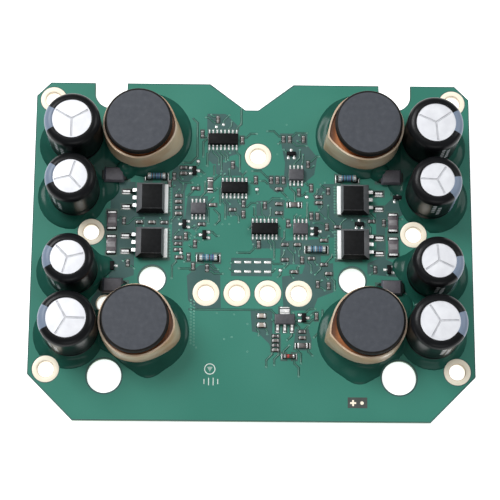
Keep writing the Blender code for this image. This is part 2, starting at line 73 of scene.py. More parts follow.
slot_middle, slot_radius, slot_depth = 46.6, 5.2, 8.6
notch_depth, back_cut, front_cut = 8.9, 4.6, 14.5


def circle(x, y, radius, steps=48):
    """A closed loop of points, its first one turned away from the board's middle."""
    angles = [math.atan2(y, x) + math.tau * i / steps for i in range(steps)]
    return [(x + radius * math.cos(a), y + radius * math.sin(a)) for a in angles]


def arc(x, y, radius, start, end, steps):
    """Points from one angle to another, in degrees."""
    angles = [math.radians(start + (end - start) * i / steps) for i in range(steps + 1)]
    return [(x + radius * math.cos(a), y + radius * math.sin(a)) for a in angles]


def board_outline(inset=0.0):
    """The routed edge, drawn in by inset: corners cut, a slot at each side of the back, a notch between."""
    w, b, i = half_width - inset, half_depth - inset, inset
    mitre = 0.414 * i
    slot, centre = slot_radius + i, half_depth - slot_depth + slot_radius
    notch = half_depth - notch_depth - i
    return [
        (-w, -b + front_cut - mitre), (-w + front_cut - mitre, -b),
        (w - front_cut + mitre, -b), (w, -b + front_cut - mitre),
        (w, b - back_cut + mitre), (w - back_cut + mitre, b), (slot_middle + slot, b),
        *arc(slot_middle, centre, slot, 0, -180, 20), (slot_middle - slot, b),
        (13.3 + 1.35 * i, b), (1.7 + 0.35 * i, notch), (-2.5 - 0.35 * i, notch), (-14.1 - 1.35 * i, b),
        (-slot_middle + slot, b), *arc(-slot_middle, centre, slot, 0, -180, 20), (-slot_middle - slot, b),
        (-w + back_cut - mitre, b), (-w, b - back_cut + mitre),
    ]


def turned_left(loop):
    """The loop with its inside on its left."""
    area = sum(ax * by - bx * ay for (ax, ay), (bx, by) in zip(loop, loop[1:] + loop[:1]))
    return loop if area > 0 else loop[::-1]


def sheet(name, outline, cutouts, low, high):
    """A flat plate between two heights, less the cutouts, which may overlap each other and the edge."""
    points, faces = [], []
    for loop in [outline] + cutouts:
        faces.append(list(range(len(points), len(points) + len(loop))))
        points += [Vector(point) for point in turned_left(loop)]
    corners, _, pieces, _, _, owners = delaunay_2d_cdt(points, [], faces, 1, 1e-5)
    plate = bmesh.new()
    verts = [plate.verts.new((x * MM, y * MM, high)) for x, y in corners]
    for piece, owner in zip(pieces, owners):
        if owner == [0]:
            plate.faces.new([verts[i] for i in piece])
    loose = [vert for vert in plate.verts if not vert.link_faces]
    bmesh.ops.delete(plate, geom=loose, context="VERTS")
    grown = bmesh.ops.extrude_face_region(plate, geom=plate.faces[:])["geom"]
    lowered = [part for part in grown if isinstance(part, bmesh.types.BMVert)]
    bmesh.ops.translate(plate, verts=lowered, vec=(0, 0, low - high))
    bmesh.ops.recalc_face_normals(plate, faces=plate.faces)
    mesh = bpy.data.meshes.new(name)
    plate.to_mesh(mesh)
    plate.free()
    return mesh


def add_piece(name, mesh, *materials, smooth=None):
    """A mesh in the scene, in its materials, smooth over edges blunter than the angle."""
    if not mesh.materials:
        for material in materials:
            mesh.materials.append(material)
    if smooth is not None:
        mesh.shade_smooth()
        mesh.set_sharp_from_angle(angle=math.radians(smooth))
    piece = bpy.data.objects.new(name, mesh)
    bpy.context.scene.collection.objects.link(piece)
    return piece


def fixed(piece, slot, *nodes):
    """The piece rides on the board and stands for the nodes; the slot is not used."""
    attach(piece, "root")
    if nodes:
        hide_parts(*nodes)
    return piece


def finish(name, roughness, metallic=0.0, coat=0.0, specular=0.5):
    """A new material with its node tree and its shader."""
    material = bpy.data.materials.new(name)
    material.use_nodes = True
    shader = material.node_tree.nodes["Principled BSDF"]
    shader.inputs["Roughness"].default_value = roughness
    shader.inputs["Metallic"].default_value = metallic
    shader.inputs["Coat Weight"].default_value = coat
    shader.inputs["Specular IOR Level"].default_value = specular
    return material, material.node_tree, shader


def noise(tree, scale, detail=3.0, stretch=(1, 1, 1)):
    """Noise in the object's own space, its scale in spots per metre."""
    place = tree.nodes.new("ShaderNodeTexCoord")
    mapping = tree.nodes.new("ShaderNodeMapping")
    mapping.inputs["Scale"].default_value = stretch
    texture = tree.nodes.new("ShaderNodeTexNoise")
    texture.inputs["Scale"].default_value = scale
    texture.inputs["Detail"].default_value = detail
    tree.links.new(place.outputs["Object"], mapping.inputs["Vector"])
    tree.links.new(mapping.outputs["Vector"], texture.inputs["Vector"])
    return texture.outputs["Fac"]


def shaded(tree, shader, factor, stops):
    """Colours a shader from a factor through (position, colour) stops."""
    ramp = tree.nodes.new("ShaderNodeValToRGB")
    ramp.color_ramp.elements[0].position = stops[0][0]
    ramp.color_ramp.elements[1].position = stops[-1][0]
    for position, colour in stops[1:-1]:
        ramp.color_ramp.elements.new(position)
    for element, (position, colour) in zip(ramp.color_ramp.elements, stops):
        element.color = (*colour, 1.0)
    tree.links.new(factor, ramp.inputs["Fac"])
    tree.links.new(ramp.outputs["Color"], shader.inputs["Base Color"])
    return ramp.outputs["Color"]


def roughened(tree, shader, factor, low, high):
    """Drives a shader's roughness from a factor, between low and high."""
    span = tree.nodes.new("ShaderNodeMapRange")
    span.inputs["From Min"].default_value = 0.3
    span.inputs["From Max"].default_value = 0.7
    span.inputs["To Min"].default_value = low
    span.inputs["To Max"].default_value = high
    tree.links.new(factor, span.inputs["Value"])
    tree.links.new(span.outputs["Result"], shader.inputs["Roughness"])


def bumped(tree, shader, height, depth, strength=1.0):
    """Tilts a shader's surface by a height, its depth in metres."""
    bump = tree.nodes.new("ShaderNodeBump")
    bump.inputs["Strength"].default_value = strength
    bump.inputs["Distance"].default_value = depth
    tree.links.new(height, bump.inputs["Height"])
    tree.links.new(bump.outputs["Normal"], shader.inputs["Normal"])


bare_mask, tree, shader = finish("solder_mask_over_glass", 0.38, specular=0.2)
shaded(tree, shader, noise(tree, 90), [
    (0.30, (0.036, 0.096, 0.089)), (0.70, (0.056, 0.119, 0.114))])
bumped(tree, shader, noise(tree, 2500, 2), 0.00002)

copper_mask, tree, shader = finish("solder_mask_over_copper", 0.33, specular=0.2)
shaded(tree, shader, noise(tree, 25, 2), [
    (0.30, (0.027, 0.172, 0.125)), (0.70, (0.042, 0.207, 0.156))])
bumped(tree, shader, noise(tree, 1800, 3), 0.00002)

cut_edge, tree, shader = finish("routed_glass_edge", 0.7, specular=0.2)
shaded(tree, shader, noise(tree, 2200, 3, (1, 1, 6)), [
    (0.35, (0.11, 0.20, 0.125)), (0.65, (0.18, 0.27, 0.17))])

drilled = [circle(x, y, bore_radius) for x, y in screw_holes]
drilled += [circle(x, y, radius, 72) for x, y, radius in plain_holes]
drilled += [circle(x, y, lead_hole_radius, 16) for x, y in lead_holes]
laminate = sheet("laminate", board_outline(), drilled, board_bottom, board_top)
board = add_piece("laminate_board", laminate, bare_mask, cut_edge)
for face in laminate.polygons:
    face.material_index = 0 if abs(face.normal.z) > 0.5 else 1
fixed(board, "solder_mask", "circuit_board")


# Eight electrolytic capacitors: an aluminium can, its top scored with a three-armed vent, in a shrunk
# black plastic sleeve with a pale stripe on the negative side. A rubber seal closes the foot, and two
# tinned leads go through the board. The tops keep a thin bright edge above the sleeve's curled lip.
def on_board(x, y, height=0.0):
    """A point in metres, from millimetres across the board and above its top face."""
    return Vector((x * MM, y * MM, board_top + height * MM))


def turned(shape, base, profile, steps=64, start=0.0, closed=False, materials=None, ripple=None):
    """Adds a turned body: its profile is (radius, height) in mm, from the foot's axis up the outside."""
    rings = []
    for radius, height in profile:
        if radius == 0:
            rings.append([shape.verts.new(base + Vector((0, 0, height * MM)))] * steps)
            continue
        ring = []
        for i in range(steps):
            angle = start + math.tau * i / steps
            reach = (radius + (ripple(angle, height) if ripple else 0.0)) * MM
            offset = Vector((reach * math.cos(angle), reach * math.sin(angle), height * MM))
            ring.append(shape.verts.new(base + offset))
        rings.append(ring)
    around = shape.loops.layers.uv.verify()
    pairs = list(zip(rings, rings[1:]))
    if closed:
        pairs.append((rings[-1], rings[0]))
    for level, (low, high) in enumerate(pairs):
        for i in range(steps):
            j = (i + 1) % steps
            places = {low[i]: i, low[j]: i + 1, high[j]: i + 1, high[i]: i}
            face = shape.faces.new(list(dict.fromkeys((low[i], low[j], high[j], high[i]))))
            face.material_index = materials[level] if materials else 0
            for loop in face.loops:
                loop[around].uv = (places[loop.vert] / steps, (loop.vert.co.z - base.z) / MM / 20.0)


def as_mesh(shape, name, outwards=True):
    """The finished mesh of a shape; an open shape already faces the right way."""
    if outwards:
        bmesh.ops.recalc_face_normals(shape, faces=shape.faces)
    mesh = bpy.data.meshes.new(name)
    shape.to_mesh(mesh)
    shape.free()
    return mesh


def made(name, shape, materials, slot, *nodes, smooth=None):
    """The piece that a shape makes, fixed to the board."""
    return fixed(add_piece(name, as_mesh(shape, name), *materials, smooth=smooth), slot, *nodes)


def foot_of(low, high):
    """The middle of a box's underside."""
    return Vector(((low.x + high.x) / 2, (low.y + high.y) / 2, low.z))


def window(tree, value, centre, reach):
    """1 where the value is within reach of the centre, else 0."""
    inside = tree.nodes.new("ShaderNodeMath")
    inside.operation = "COMPARE"
    inside.inputs[1].default_value = centre
    inside.inputs[2].default_value = reach
    tree.links.new(value, inside.inputs[0])
    return inside.outputs[0]


def combined(tree, operation, first, second=0.0):
    """One sum on two values, each a socket or a number."""
    node = tree.nodes.new("ShaderNodeMath")
    node.operation = operation
    for socket, value in zip(node.inputs, (first, second)):
        if isinstance(value, (int, float)):
            socket.default_value = value
        else:
            tree.links.new(value, socket)
    return node.outputs[0]


def painted(tree, shader, under, factor, colour):
    """Lays a colour over what feeds the base colour, where the factor is 1."""
    mix = tree.nodes.new("ShaderNodeMix")
    mix.data_type = "RGBA"
    tree.links.new(factor, mix.inputs["Factor"])
    tree.links.new(under, mix.inputs["A"])
    mix.inputs["B"].default_value = (*colour, 1.0)
    tree.links.new(mix.outputs["Result"], shader.inputs["Base Color"])
    return mix.outputs["Result"]


can_metal, tree, shader = finish("brushed_aluminium", 0.42, metallic=0.25)
shaded(tree, shader, noise(tree, 260, 4), [
    (0.25, (0.64, 0.65, 0.69)), (0.75, (0.77, 0.785, 0.82))])
roughened(tree, shader, noise(tree, 700, 3), 0.34, 0.52)
bumped(tree, shader, noise(tree, 1500, 3), 0.00003, 0.6)

# A darker grey for the vent's grooves and a band along them: painted shade in the grooves.
vent_groove_shade, tree, shader = finish("vent_groove_painted_shade", 0.5, metallic=0.3)
shaded(tree, shader, noise(tree, 600, 2), [
    (0.3, (0.46, 0.47, 0.50)), (0.7, (0.58, 0.59, 0.62))])

sleeve_film, tree, shader = finish("shrunk_sleeve_film", 0.30, coat=0.02, specular=0.14)
shader.inputs["Coat Roughness"].default_value = 0.2
map_node = tree.nodes.new("ShaderNodeUVMap")
split = tree.nodes.new("ShaderNodeSeparateXYZ")
tree.links.new(map_node.outputs["UV"], split.inputs["Vector"])
turn, rise = split.outputs["X"], split.outputs["Y"]
under = shaded(tree, shader, noise(tree, 150, 3), [
    (0.3, (0.004, 0.0045, 0.005)), (0.7, (0.007, 0.0075, 0.009))])
stripe_middle = 0.5
stripe = window(tree, turn, stripe_middle, 0.077)
under = painted(tree, shader, under, stripe, (0.17, 0.215, 0.29))


def repeated(tree, value, times, reach):
    """1 in the middle of each of a value's repeats, else 0."""
    part = combined(tree, "FRACT", combined(tree, "MULTIPLY", value, times))
    return window(tree, part, 0.5, reach)


dash_line = window(tree, turn, stripe_middle, 0.016)
dashes = combined(tree, "MULTIPLY", dash_line, repeated(tree, rise, 3.2, 0.16))
under = painted(tree, shader, under, dashes, (0.03, 0.035, 0.045))
# Four rows of short pale bars stand for the values printed beside the stripe.
for centre, bar_height in ((0.655, 0.62), (0.69, 0.50), (0.325, 0.56), (0.29, 0.68)):
    column = window(tree, turn, centre, 0.011)
    row = window(tree, rise, bar_height, 0.2)
    bars = combined(tree, "MULTIPLY", repeated(tree, rise, 9.0, 0.33), row)
    under = painted(tree, shader, under, combined(tree, "MULTIPLY", column, bars), (0.42, 0.43, 0.45))
bumped(tree, shader, noise(tree, 420, 3, (1, 1, 0.35)), 0.00010, 0.35)

seal_rubber, tree, shader = finish("seal_rubber", 0.75)
shaded(tree, shader, noise(tree, 900), [
    (0.3, (0.010, 0.010, 0.011)), (0.7, (0.022, 0.021, 0.021))])
bumped(tree, shader, noise(tree, 2400), 0.00003)

lead_tin, tree, shader = finish("tinned_lead", 0.3, metallic=0.5)
shaded(tree, shader, noise(tree, 900, 3), [
    (0.3, (0.56, 0.57, 0.58)), (0.7, (0.80, 0.80, 0.79))])
roughened(tree, shader, noise(tree, 1800, 3), 0.2, 0.42)
bumped(tree, shader, noise(tree, 2600, 2), 0.00002, 0.5)

# How each can and its sleeve were turned when they went in, in degrees, from the back to the front.
vent_turns = {"left": (30, 73, 14, -1), "right": (35, 56, 95, 2)}
stripe_turns = {"left": (178, 173, 177, 178), "right": (3, -18, -15, -5)}


def star(arms, width, turn_by):
    """The three-armed vent's outline: two corners at each arm's end, one where two arms meet."""
    outline = []
    for arm in range(3):
        angle = math.radians(turn_by + 120 * arm)
        along = Vector((math.cos(angle), math.sin(angle)))
        across = Vector((-along.y, along.x)) * width / 2
        outline += [along * arms - across, along * arms + across]
        between = angle + math.radians(60)
        outline.append(Vector((math.cos(between), math.sin(between))) * width / math.sqrt(3))
    return outline


def vented_top(shape, base, radius, height, turn_by):
    """The can's top: a low dome with the vent's three grooves pressed into it."""
    vent_depth, dome_height = 0.22, 0.22
    loops = [[Vector(point) for point in circle(0, 0, radius, 64)]]
    loops += [star(radius - 0.7, 0.66, turn_by), star(radius - 0.95, 0.26, turn_by)]
    for part in (0.35, 0.7, 0.9):
        loops.append([Vector(point) for point in circle(0, 0, radius * part, 32)])
    points, faces = [], []
    for loop in loops:
        faces.append(list(range(len(points), len(points) + len(loop))))
        points += loop
    corners, _, pieces, _, _, owners = delaunay_2d_cdt(points, [], faces, 1, 1e-5)
    floor_of_groove = {i for piece, owner in zip(pieces, owners) if 2 in owner for i in piece}
    verts = []
    for i, corner in enumerate(corners):
        drop = vent_depth if i in floor_of_groove else 0.0
        level = height + dome_height * (1 - (corner.length / radius) ** 2) - drop
        verts.append(shape.verts.new(base + Vector((corner.x, corner.y, level)) * MM))
    # The grooves and a band along each take the darker grey as painted shade.
    for piece, owner in zip(pieces, owners):
        face = shape.faces.new([verts[i] for i in piece])
        face.material_index = 1 if 1 in owner or 2 in owner else 0
    loose = [vert for vert in verts if not vert.link_faces]
    bmesh.ops.delete(shape, geom=loose, context="VERTS")


for side_name in ("left", "right"):
    for number in range(1, 5):
        name = f"capacitor_{side_name}_{number}"
        low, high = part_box(name + "_sleeve")
        radius = (high.x - low.x) / 2 / MM
        tall = (high.z - low.z) / MM
        seat = foot_of(low, high)
        can = bmesh.new()
        vented_top(can, seat, radius - 2.35, tall - 0.28, vent_turns[side_name][number - 1])
        turned(can, seat, [
            (radius - 3.0, 0.5), (radius - 0.9, 0.45), (radius - 0.5, 1.0), (radius - 0.5, 2.2),
            (radius - 1.0, 2.7), (radius - 1.0, 3.2), (radius - 0.5, 3.7), (radius - 0.4, tall - 1.5),
            (radius - 1.0, tall - 0.7), (radius - 2.0, tall - 0.34), (radius - 2.35, tall - 0.28)])
        can_mesh = as_mesh(can, name + "_can_shell", outwards=False)
        piece = add_piece(name + "_can_shell", can_mesh, can_metal, vent_groove_shade, smooth=40)
        fixed(piece, "can_aluminium", name + "_can")

        phase = number * 1.7 + len(side_name)
        sleeve = bmesh.new()
        turned(sleeve, seat, [
            (radius - 2.3, 0.35), (radius - 2.2, 0.02), (radius - 0.5, 0.0), (radius - 0.08, 0.35),
            (radius, 1.0), (radius, 2.2), (radius - 0.42, 2.75), (radius - 0.42, 3.15), (radius, 3.7),
            (radius, 6.0), (radius - 0.03, 9.0), (radius, 12.0), (radius, tall - 2.4),
            (radius - 0.10, tall - 1.7), (radius - 0.38, tall - 1.05), (radius - 0.85, tall - 0.55),
            (radius - 1.45, tall - 0.22), (radius - 2.1, tall - 0.05), (radius - 2.5, tall),
            (radius - 2.68, tall - 0.08), (radius - 2.66, tall - 0.2), (radius - 2.4, tall - 0.24),
            (radius - 1.2, tall - 0.85), (radius - 0.4, tall - 2.4), (radius - 0.4, 1.0),
            (radius - 0.6, 0.4)],
            96, math.radians(stripe_turns[side_name][number - 1]) + math.pi, closed=True,
            ripple=lambda angle, z: 0.018 * math.sin(5 * angle + phase) * math.sin(0.9 * z + phase))
        made(name + "_shrunk_sleeve", sleeve, [sleeve_film], "black_sleeve", name + "_sleeve", smooth=60)

        foot = bmesh.new()
        turned(foot, seat, [
            (0, 0.2), (radius - 2.0, 0.2), (radius - 1.2, 0.5), (radius - 1.2, 1.2), (0, 1.2)])
        made(name + "_seal", foot, [seal_rubber], "black_sleeve", smooth=40)

lead_shape = bmesh.new()
for x, y in capacitor_leads:
    turned(lead_shape, on_board(x, y), [
        (0, -3.0), (0.3, -2.95), (0.4, -2.75), (0.4, 0.6), (0, 0.6)], 12)
made("capacitor_leads", lead_shape, [lead_tin], "tinned_metal", smooth=40)


# Four power inductors: a ground ferrite drum, a winding of enamelled copper wire between its flanges,
# and a varnished paper band round both, pinched to a point where its ends are glued together.
ferrite_face, tree, shader = finish("ground_ferrite", 0.6, specular=0.3)
shaded(tree, shader, noise(tree, 620, 5), [
    (0.25, (0.044, 0.049, 0.061)), (0.55, (0.053, 0.059, 0.072)), (0.78, (0.064, 0.071, 0.085))])
roughened(tree, shader, noise(tree, 300, 3), 0.48, 0.62)
bumped(tree, shader, noise(tree, 2200, 3), 0.00004, 0.5)

ferrite_side, tree, shader = finish("sintered_ferrite", 0.6, specular=0.2)
shaded(tree, shader, noise(tree, 900, 4), [
    (0.3, (0.004, 0.0035, 0.003)), (0.7, (0.008, 0.007, 0.006))])
bumped(tree, shader, noise(tree, 1600, 3), 0.00005, 0.6)

enamel, tree, shader = finish("copper_enamel", 0.3, metallic=0.3, coat=0.3)
shaded(tree, shader, noise(tree, 260, 2), [
    (0.3, (0.36, 0.12, 0.035)), (0.7, (0.55, 0.21, 0.07))])

wrap_paper, tree, shader = finish("varnished_wrap", 0.36, coat=0.45)
shaded(tree, shader, noise(tree, 80, 2.5, (1, 1, 1.6)), [
    (0.34, (0.58, 0.36, 0.20)), (0.50, (0.65, 0.49, 0.34)), (0.66, (0.72, 0.61, 0.46))])
bumped(tree, shader, noise(tree, 700, 3, (1, 1, 3)), 0.00008, 0.5)

wrap_inside, tree, shader = finish("varnish_soaked_wrap", 0.4, coat=0.2)
shaded(tree, shader, noise(tree, 150, 3), [
    (0.3, (0.36, 0.125, 0.038)), (0.7, (0.54, 0.23, 0.09))])


def shape_tree(name, *inputs):
    """A new geometry tree with (label, kind) inputs, and the sockets that give what comes in."""
    tree = bpy.data.node_groups.new(name, "GeometryNodeTree")
    tree.interface.new_socket("Geometry", in_out="OUTPUT", socket_type="NodeSocketGeometry")
    for label, kind in (("Geometry", "Geometry"), *inputs):
        tree.interface.new_socket(label, in_out="INPUT", socket_type="NodeSocket" + kind)
    return tree, tree.nodes.new("NodeGroupInput").outputs


def wired(tree, links, shape, material):
    """Makes the (source, target) links, then realizes the shape, sets its material and gives it out."""
    realised = tree.nodes.new("GeometryNodeRealizeInstances")
    coloured = tree.nodes.new("GeometryNodeSetMaterial")
    outputs = tree.nodes.new("NodeGroupOutput")
    ending = (
        (shape, realised.inputs["Geometry"]),
        (realised.outputs["Geometry"], coloured.inputs["Geometry"]),
        (material, coloured.inputs["Material"]),
        (coloured.outputs["Geometry"], outputs.inputs["Geometry"]))
    for source, target in (*links, *ending):
        tree.links.new(source, target)


coil_tree, given = shape_tree(
    "wound_coil", ("Turns", "Float"), ("Coil Radius", "Float"), ("Coil Height", "Float"),
    ("Wire Radius", "Float"), ("Foot", "Vector"), ("Wire", "Material"))
spiral = coil_tree.nodes.new("GeometryNodeCurveSpiral")
spiral.inputs["Resolution"].default_value = 48
profile = coil_tree.nodes.new("GeometryNodeCurvePrimitiveCircle")
profile.inputs["Resolution"].default_value = 8
swept = coil_tree.nodes.new("GeometryNodeCurveToMesh")
swept.inputs["Fill Caps"].default_value = True
moved = coil_tree.nodes.new("GeometryNodeTransform")
wired(coil_tree, (
    (given["Turns"], spiral.inputs["Rotations"]),
    (given["Coil Radius"], spiral.inputs["Start Radius"]),
    (given["Coil Radius"], spiral.inputs["End Radius"]),
    (given["Coil Height"], spiral.inputs["Height"]),
    (given["Wire Radius"], profile.inputs["Radius"]),
    (spiral.outputs["Curve"], swept.inputs["Curve"]),
    (profile.outputs["Curve"], swept.inputs["Profile Curve"]),
    (swept.outputs["Mesh"], moved.inputs["Geometry"]),
    (given["Foot"], moved.inputs["Translation"])), moved.outputs["Geometry"], given["Wire"])


def grown(name, carrier_mesh, node_tree, values):
    """Runs a node tree on a carrier mesh with its named inputs set, and gives the plain mesh it makes."""
    carrier = bpy.data.objects.new(name, carrier_mesh)
    bpy.context.scene.collection.objects.link(carrier)
    modifier = carrier.modifiers.new("grown", "NODES")
    modifier.node_group = node_tree
    for item in node_tree.interface.items_tree:
        if item.name in values:
            modifier[item.identifier] = values[item.name]
    seen = carrier.evaluated_get(bpy.context.evaluated_depsgraph_get())
    mesh = bpy.data.meshes.new_from_object(seen)
    bpy.data.objects.remove(carrier)
    mesh.name = name
    return mesh


wire_radius, wire_turns = 0.44, 12.0
band_radius, band_tip, band_wall, band_height = 11.5, 14.3, 0.55, 12.4
round_steps, rise_steps = 132, 6
# How much of the foot's point the top edge keeps.
top_point = {"back_left": 0.25, "front_left": 0.4, "back_right": 0.72, "front_right": 0.66}


def band_outline(soft, fall):
    """The band's foot from above: a circle that swells to a tip along +X, with more points near it."""
    outline = []
    for i in range(round_steps):
        share = 2 * i / round_steps - 1
        angle = math.pi * math.copysign(abs(share) ** 1.35, share)
        reach = band_radius + (band_tip - band_radius) * math.exp(-(abs(angle) / soft) ** fall)
        outline.append(Vector((math.cos(angle), math.sin(angle))) * reach)
    return outline


def band_line(seat, point, inward, turn_by, kept):
    """One line up the band's wall, from its foot to its wavy top edge."""
    angle = math.atan2(point.y, point.x)
    crest = band_height + 0.28 * math.sin(3 * angle + seat.x * 90) + 0.16 * math.sin(7 * angle + 1)
    scale = 1.0 - inward / point.length
    line = []
    for step in range(rise_steps + 1):
        part = step / rise_steps
        bulge = 0.10 * math.sin(math.pi * part) * math.sin(4 * angle)
        reach = band_radius + (point.length - band_radius) * (kept + (1 - kept) * (1 - part ** 1.5))
        place = turn_by @ (point * (scale * reach + bulge) / point.length)
        line.append(seat + Vector((place.x, place.y, 0.05 + (crest - 0.05) * part)) * MM)
    return line


for depth_name in ("back", "front"):
    for side_name in ("left", "right"):
        name = f"inductor_{depth_name}_{side_name}"
        low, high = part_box(name + "_core")
        seat = foot_of(low, high)
        radius = (high.x - low.x) / 2 / MM
        tall = (high.z - low.z) / MM
        core = bmesh.new()
        turned(core, seat, [
            (0, 0), (9.1, 0), (9.4, 0.3), (9.4, 1.7), (9.1, 2.0), (5.5, 2.1), (5.5, tall - 2.8),
            (9.9, tall - 2.6), (radius - 0.15, tall - 2.45), (radius, tall - 2.2), (radius, tall - 0.55),
            (radius - 0.18, tall - 0.2), (radius - 0.5, tall), (radius - 0.75, tall + 0.02),
            (6.0, tall + 0.02), (0, tall + 0.02)], 128, materials=[1] * 13 + [0] * 2)
        made(name + "_drum", core, [ferrite_face, ferrite_side], "ferrite", name + "_core", smooth=30)

        coil = grown(name + "_coil", bpy.data.meshes.new("coil_seed"), coil_tree, {
            "Turns": wire_turns, "Coil Radius": (10.2 - wire_radius) * MM,
            "Coil Height": 2 * wire_radius * wire_turns * MM, "Wire Radius": wire_radius * MM,
            "Foot": seat + Vector((0, 0, 2.6 * MM)), "Wire": enamel})
        coil.shade_smooth()
        shape = bmesh.new()
        shape.from_mesh(coil)
        for end in (-1, 1):
            turned(shape, seat + Vector((end * inductor_lead_reach * MM, 0, 0)), [
                (0, -3.2), (0.35, -3.15), (0.45, -2.9), (0.45, 2.9), (0, 3.1)], 12)
        bmesh.ops.recalc_face_normals(shape, faces=shape.faces)
        shape.to_mesh(coil)
        shape.free()
        fixed(add_piece(name + "_coil", coil), "copper_winding", name + "_winding")

        # The band runs round the drum and swells to a tip; the left ones are pinched more softly.
        kept = top_point[f"{depth_name}_{side_name}"]
        if side_name == "left":
            outline, tip_turn = band_outline(0.50, 1.7), math.radians(-13)
        else:
            outline, tip_turn = band_outline(0.38, 1.2), math.radians(180 + 17)
        turn_by = Matrix.Rotation(tip_turn, 2)
        wrap = bmesh.new()
        columns = []
        for point in outline:
            outer = [wrap.verts.new(spot) for spot in band_line(seat, point, 0.0, turn_by, kept)]
            inner = [wrap.verts.new(spot) for spot in band_line(seat, point, band_wall, turn_by, kept)]
            columns.append(outer + inner[::-1])
        for one, two in zip(columns, columns[1:] + columns[:1]):
            for a in range(len(one)):
                b = (a + 1) % len(one)
                face = wrap.faces.new((one[a], two[a], two[b], one[b]))
                face.material_index = 1 if rise_steps < a < 2 * rise_steps + 1 else 0
        made(name + "_band", wrap, [wrap_paper, wrap_inside], "tan_wrap", name + "_wrap", smooth=50)

        # Varnish fills the space between the winding and the band.
        varnish = bmesh.new()
        levels = []
        for height in (9.4, 9.9):
            level = []
            for point in outline:
                reach = band_radius + (point.length - band_radius) * kept - band_wall - 0.1
                place = turn_by @ (point * (reach / point.length))
                level.append(varnish.verts.new(seat + Vector((place.x, place.y, height)) * MM))
            levels.append(level)
        varnish.faces.new(levels[0][::-1])
        varnish.faces.new(levels[1])
        for i in range(round_steps):
            j = (i + 1) % round_steps
            varnish.faces.new((levels[0][i], levels[0][j], levels[1][j], levels[1][i]))
        made(name + "_varnish", varnish, [wrap_inside], "copper_winding")


# Four power transistors: a black moulded body on a plated copper tab, which is soldered flat to the
# board, with two bent leads and the cut stub of a third on the outer side. The mould tapers on every
# side, most of all over the leads; its tapers and top front edge carry a painted highlight, and a dark
# painted shade covers each lead's bend and foot.
def skinned(shape, rings, material):
    """Joins rings of points, each to the next, and caps the first and the last."""
    faces = [shape.faces.new(rings[0][::-1]), shape.faces.new(rings[-1])]
    for low, high in zip(rings, rings[1:]):
        for i in range(len(low)):
            j = (i + 1) % len(low)
            faces.append(shape.faces.new((low[i], low[j], high[j], high[i])))
    for face in faces:
        face.material_index = material
    return faces


def block(shape, base, layers, bevel=0.0, material=0, turn_by=0.0):
    """Adds a block through rectangles (low x, high x, low y, high y, height) in mm, its edges rounded."""
    spin = Matrix.Rotation(math.radians(turn_by), 3, "Z")
    rings = []
    for low_x, high_x, low_y, high_y, height in layers:
        corners = ((low_x, low_y), (high_x, low_y), (high_x, high_y), (low_x, high_y))
        rings.append([shape.verts.new(base + spin @ Vector((x, y, height)) * MM) for x, y in corners])
    faces = skinned(shape, rings, material)
    if bevel:
        edges = {edge for face in faces for edge in face.edges}
        bmesh.ops.bevel(shape, geom=list(edges), offset=bevel * MM, segments=2, affect="EDGES",
                        profile=0.5, material=-1)


def strip(shape, base, path, width, thickness, material=0, turn_by=0.0):
    """Adds a flat metal strip bent along (distance, height) points in mm, its middle line the path."""
    spin = Matrix.Rotation(math.radians(turn_by), 3, "Z")
    points = [Vector(point) for point in path]
    sections = []
    for i, point in enumerate(points):
        before = (point - points[i - 1]).normalized() if i else None
        after = (points[i + 1] - point).normalized() if i + 1 < len(points) else None
        along = ((before or after) + (after or before)).normalized()
        stretch = 1.0 / max(0.5, along.dot(after or before))
        across = Vector((-along.y, along.x)) * thickness / 2 * stretch
        corners = [(point + across, width / 2), (point + across, -width / 2),
                   (point - across, -width / 2), (point - across, width / 2)]
        sections.append([shape.verts.new(base + spin @ Vector((p.x, y, p.y)) * MM) for p, y in corners])
    skinned(shape, sections, material)


def foot_curve(start, knee, ankle, toe, height, thickness):
    """A lead's line: level from the body, over a rounded knee, down a slope and flat along the pad."""
    low = thickness / 2 + 0.06
    return [(start, height), (knee, height), (knee + 0.14 * height, 0.93 * height),
            (ankle - 0.1 * height, low + 0.14 * height), (ankle, low), (toe, low)]


def solder_heap(shape, base, length, width, rise, turn_by=0.0, material=0):
    """Adds solder as it sets on a pad: thin at the pad's edge, heaped towards its middle."""
    spin = Matrix.Rotation(math.radians(turn_by), 3, "Z")
    steps, roundness = 12, 0.35
    rings = []
    for scale, height in ((1.0, 0.0), (0.99, 0.15), (0.93, 0.55), (0.8, 0.85), (0.45, 1.0)):
        ring = []
        for i in range(steps):
            angle = math.tau * (i + 0.5) / steps
            x, y = math.cos(angle), math.sin(angle)
            x = math.copysign(abs(x) ** roundness, x) * length / 2 * scale
            y = math.copysign(abs(y) ** roundness, y) * width / 2 * scale
            ring.append(shape.verts.new(base + spin @ Vector((x, y, height * rise)) * MM))
        rings.append(ring)
    skinned(shape, rings, material)


def tapered(shape, test):
    """Puts the second material on the faces whose outward normal passes the test."""
    bmesh.ops.recalc_face_normals(shape, faces=shape.faces)
    for face in shape.faces:
        if test(face.normal):
            face.material_index = 1


mould_black, tree, shader = finish("moulded_epoxy", 0.45, specular=0.08)
shaded(tree, shader, noise(tree, 800, 4), [
    (0.3, (0.006, 0.0065, 0.007)), (0.7, (0.010, 0.0105, 0.0115))])
roughened(tree, shader, noise(tree, 500, 3), 0.36, 0.5)
bumped(tree, shader, noise(tree, 4500, 2), 0.00003, 0.5)

# A grey painted highlight for the lit tapers and edges of the black mouldings.
painted_highlight_slope, tree, shader = finish("mould_slope_painted_highlight", 0.35)
shaded(tree, shader, noise(tree, 700, 3), [
    (0.3, (0.120, 0.126, 0.136)), (0.7, (0.155, 0.162, 0.172))])

tab_plate, tree, shader = finish("plated_tab", 0.36, metallic=0.25)
shaded(tree, shader, noise(tree, 500, 4, (1, 0.3, 1)), [
    (0.3, (0.78, 0.81, 0.81)), (0.7, (0.90, 0.92, 0.92))])
bumped(tree, shader, noise(tree, 1500, 3), 0.00003, 0.5)

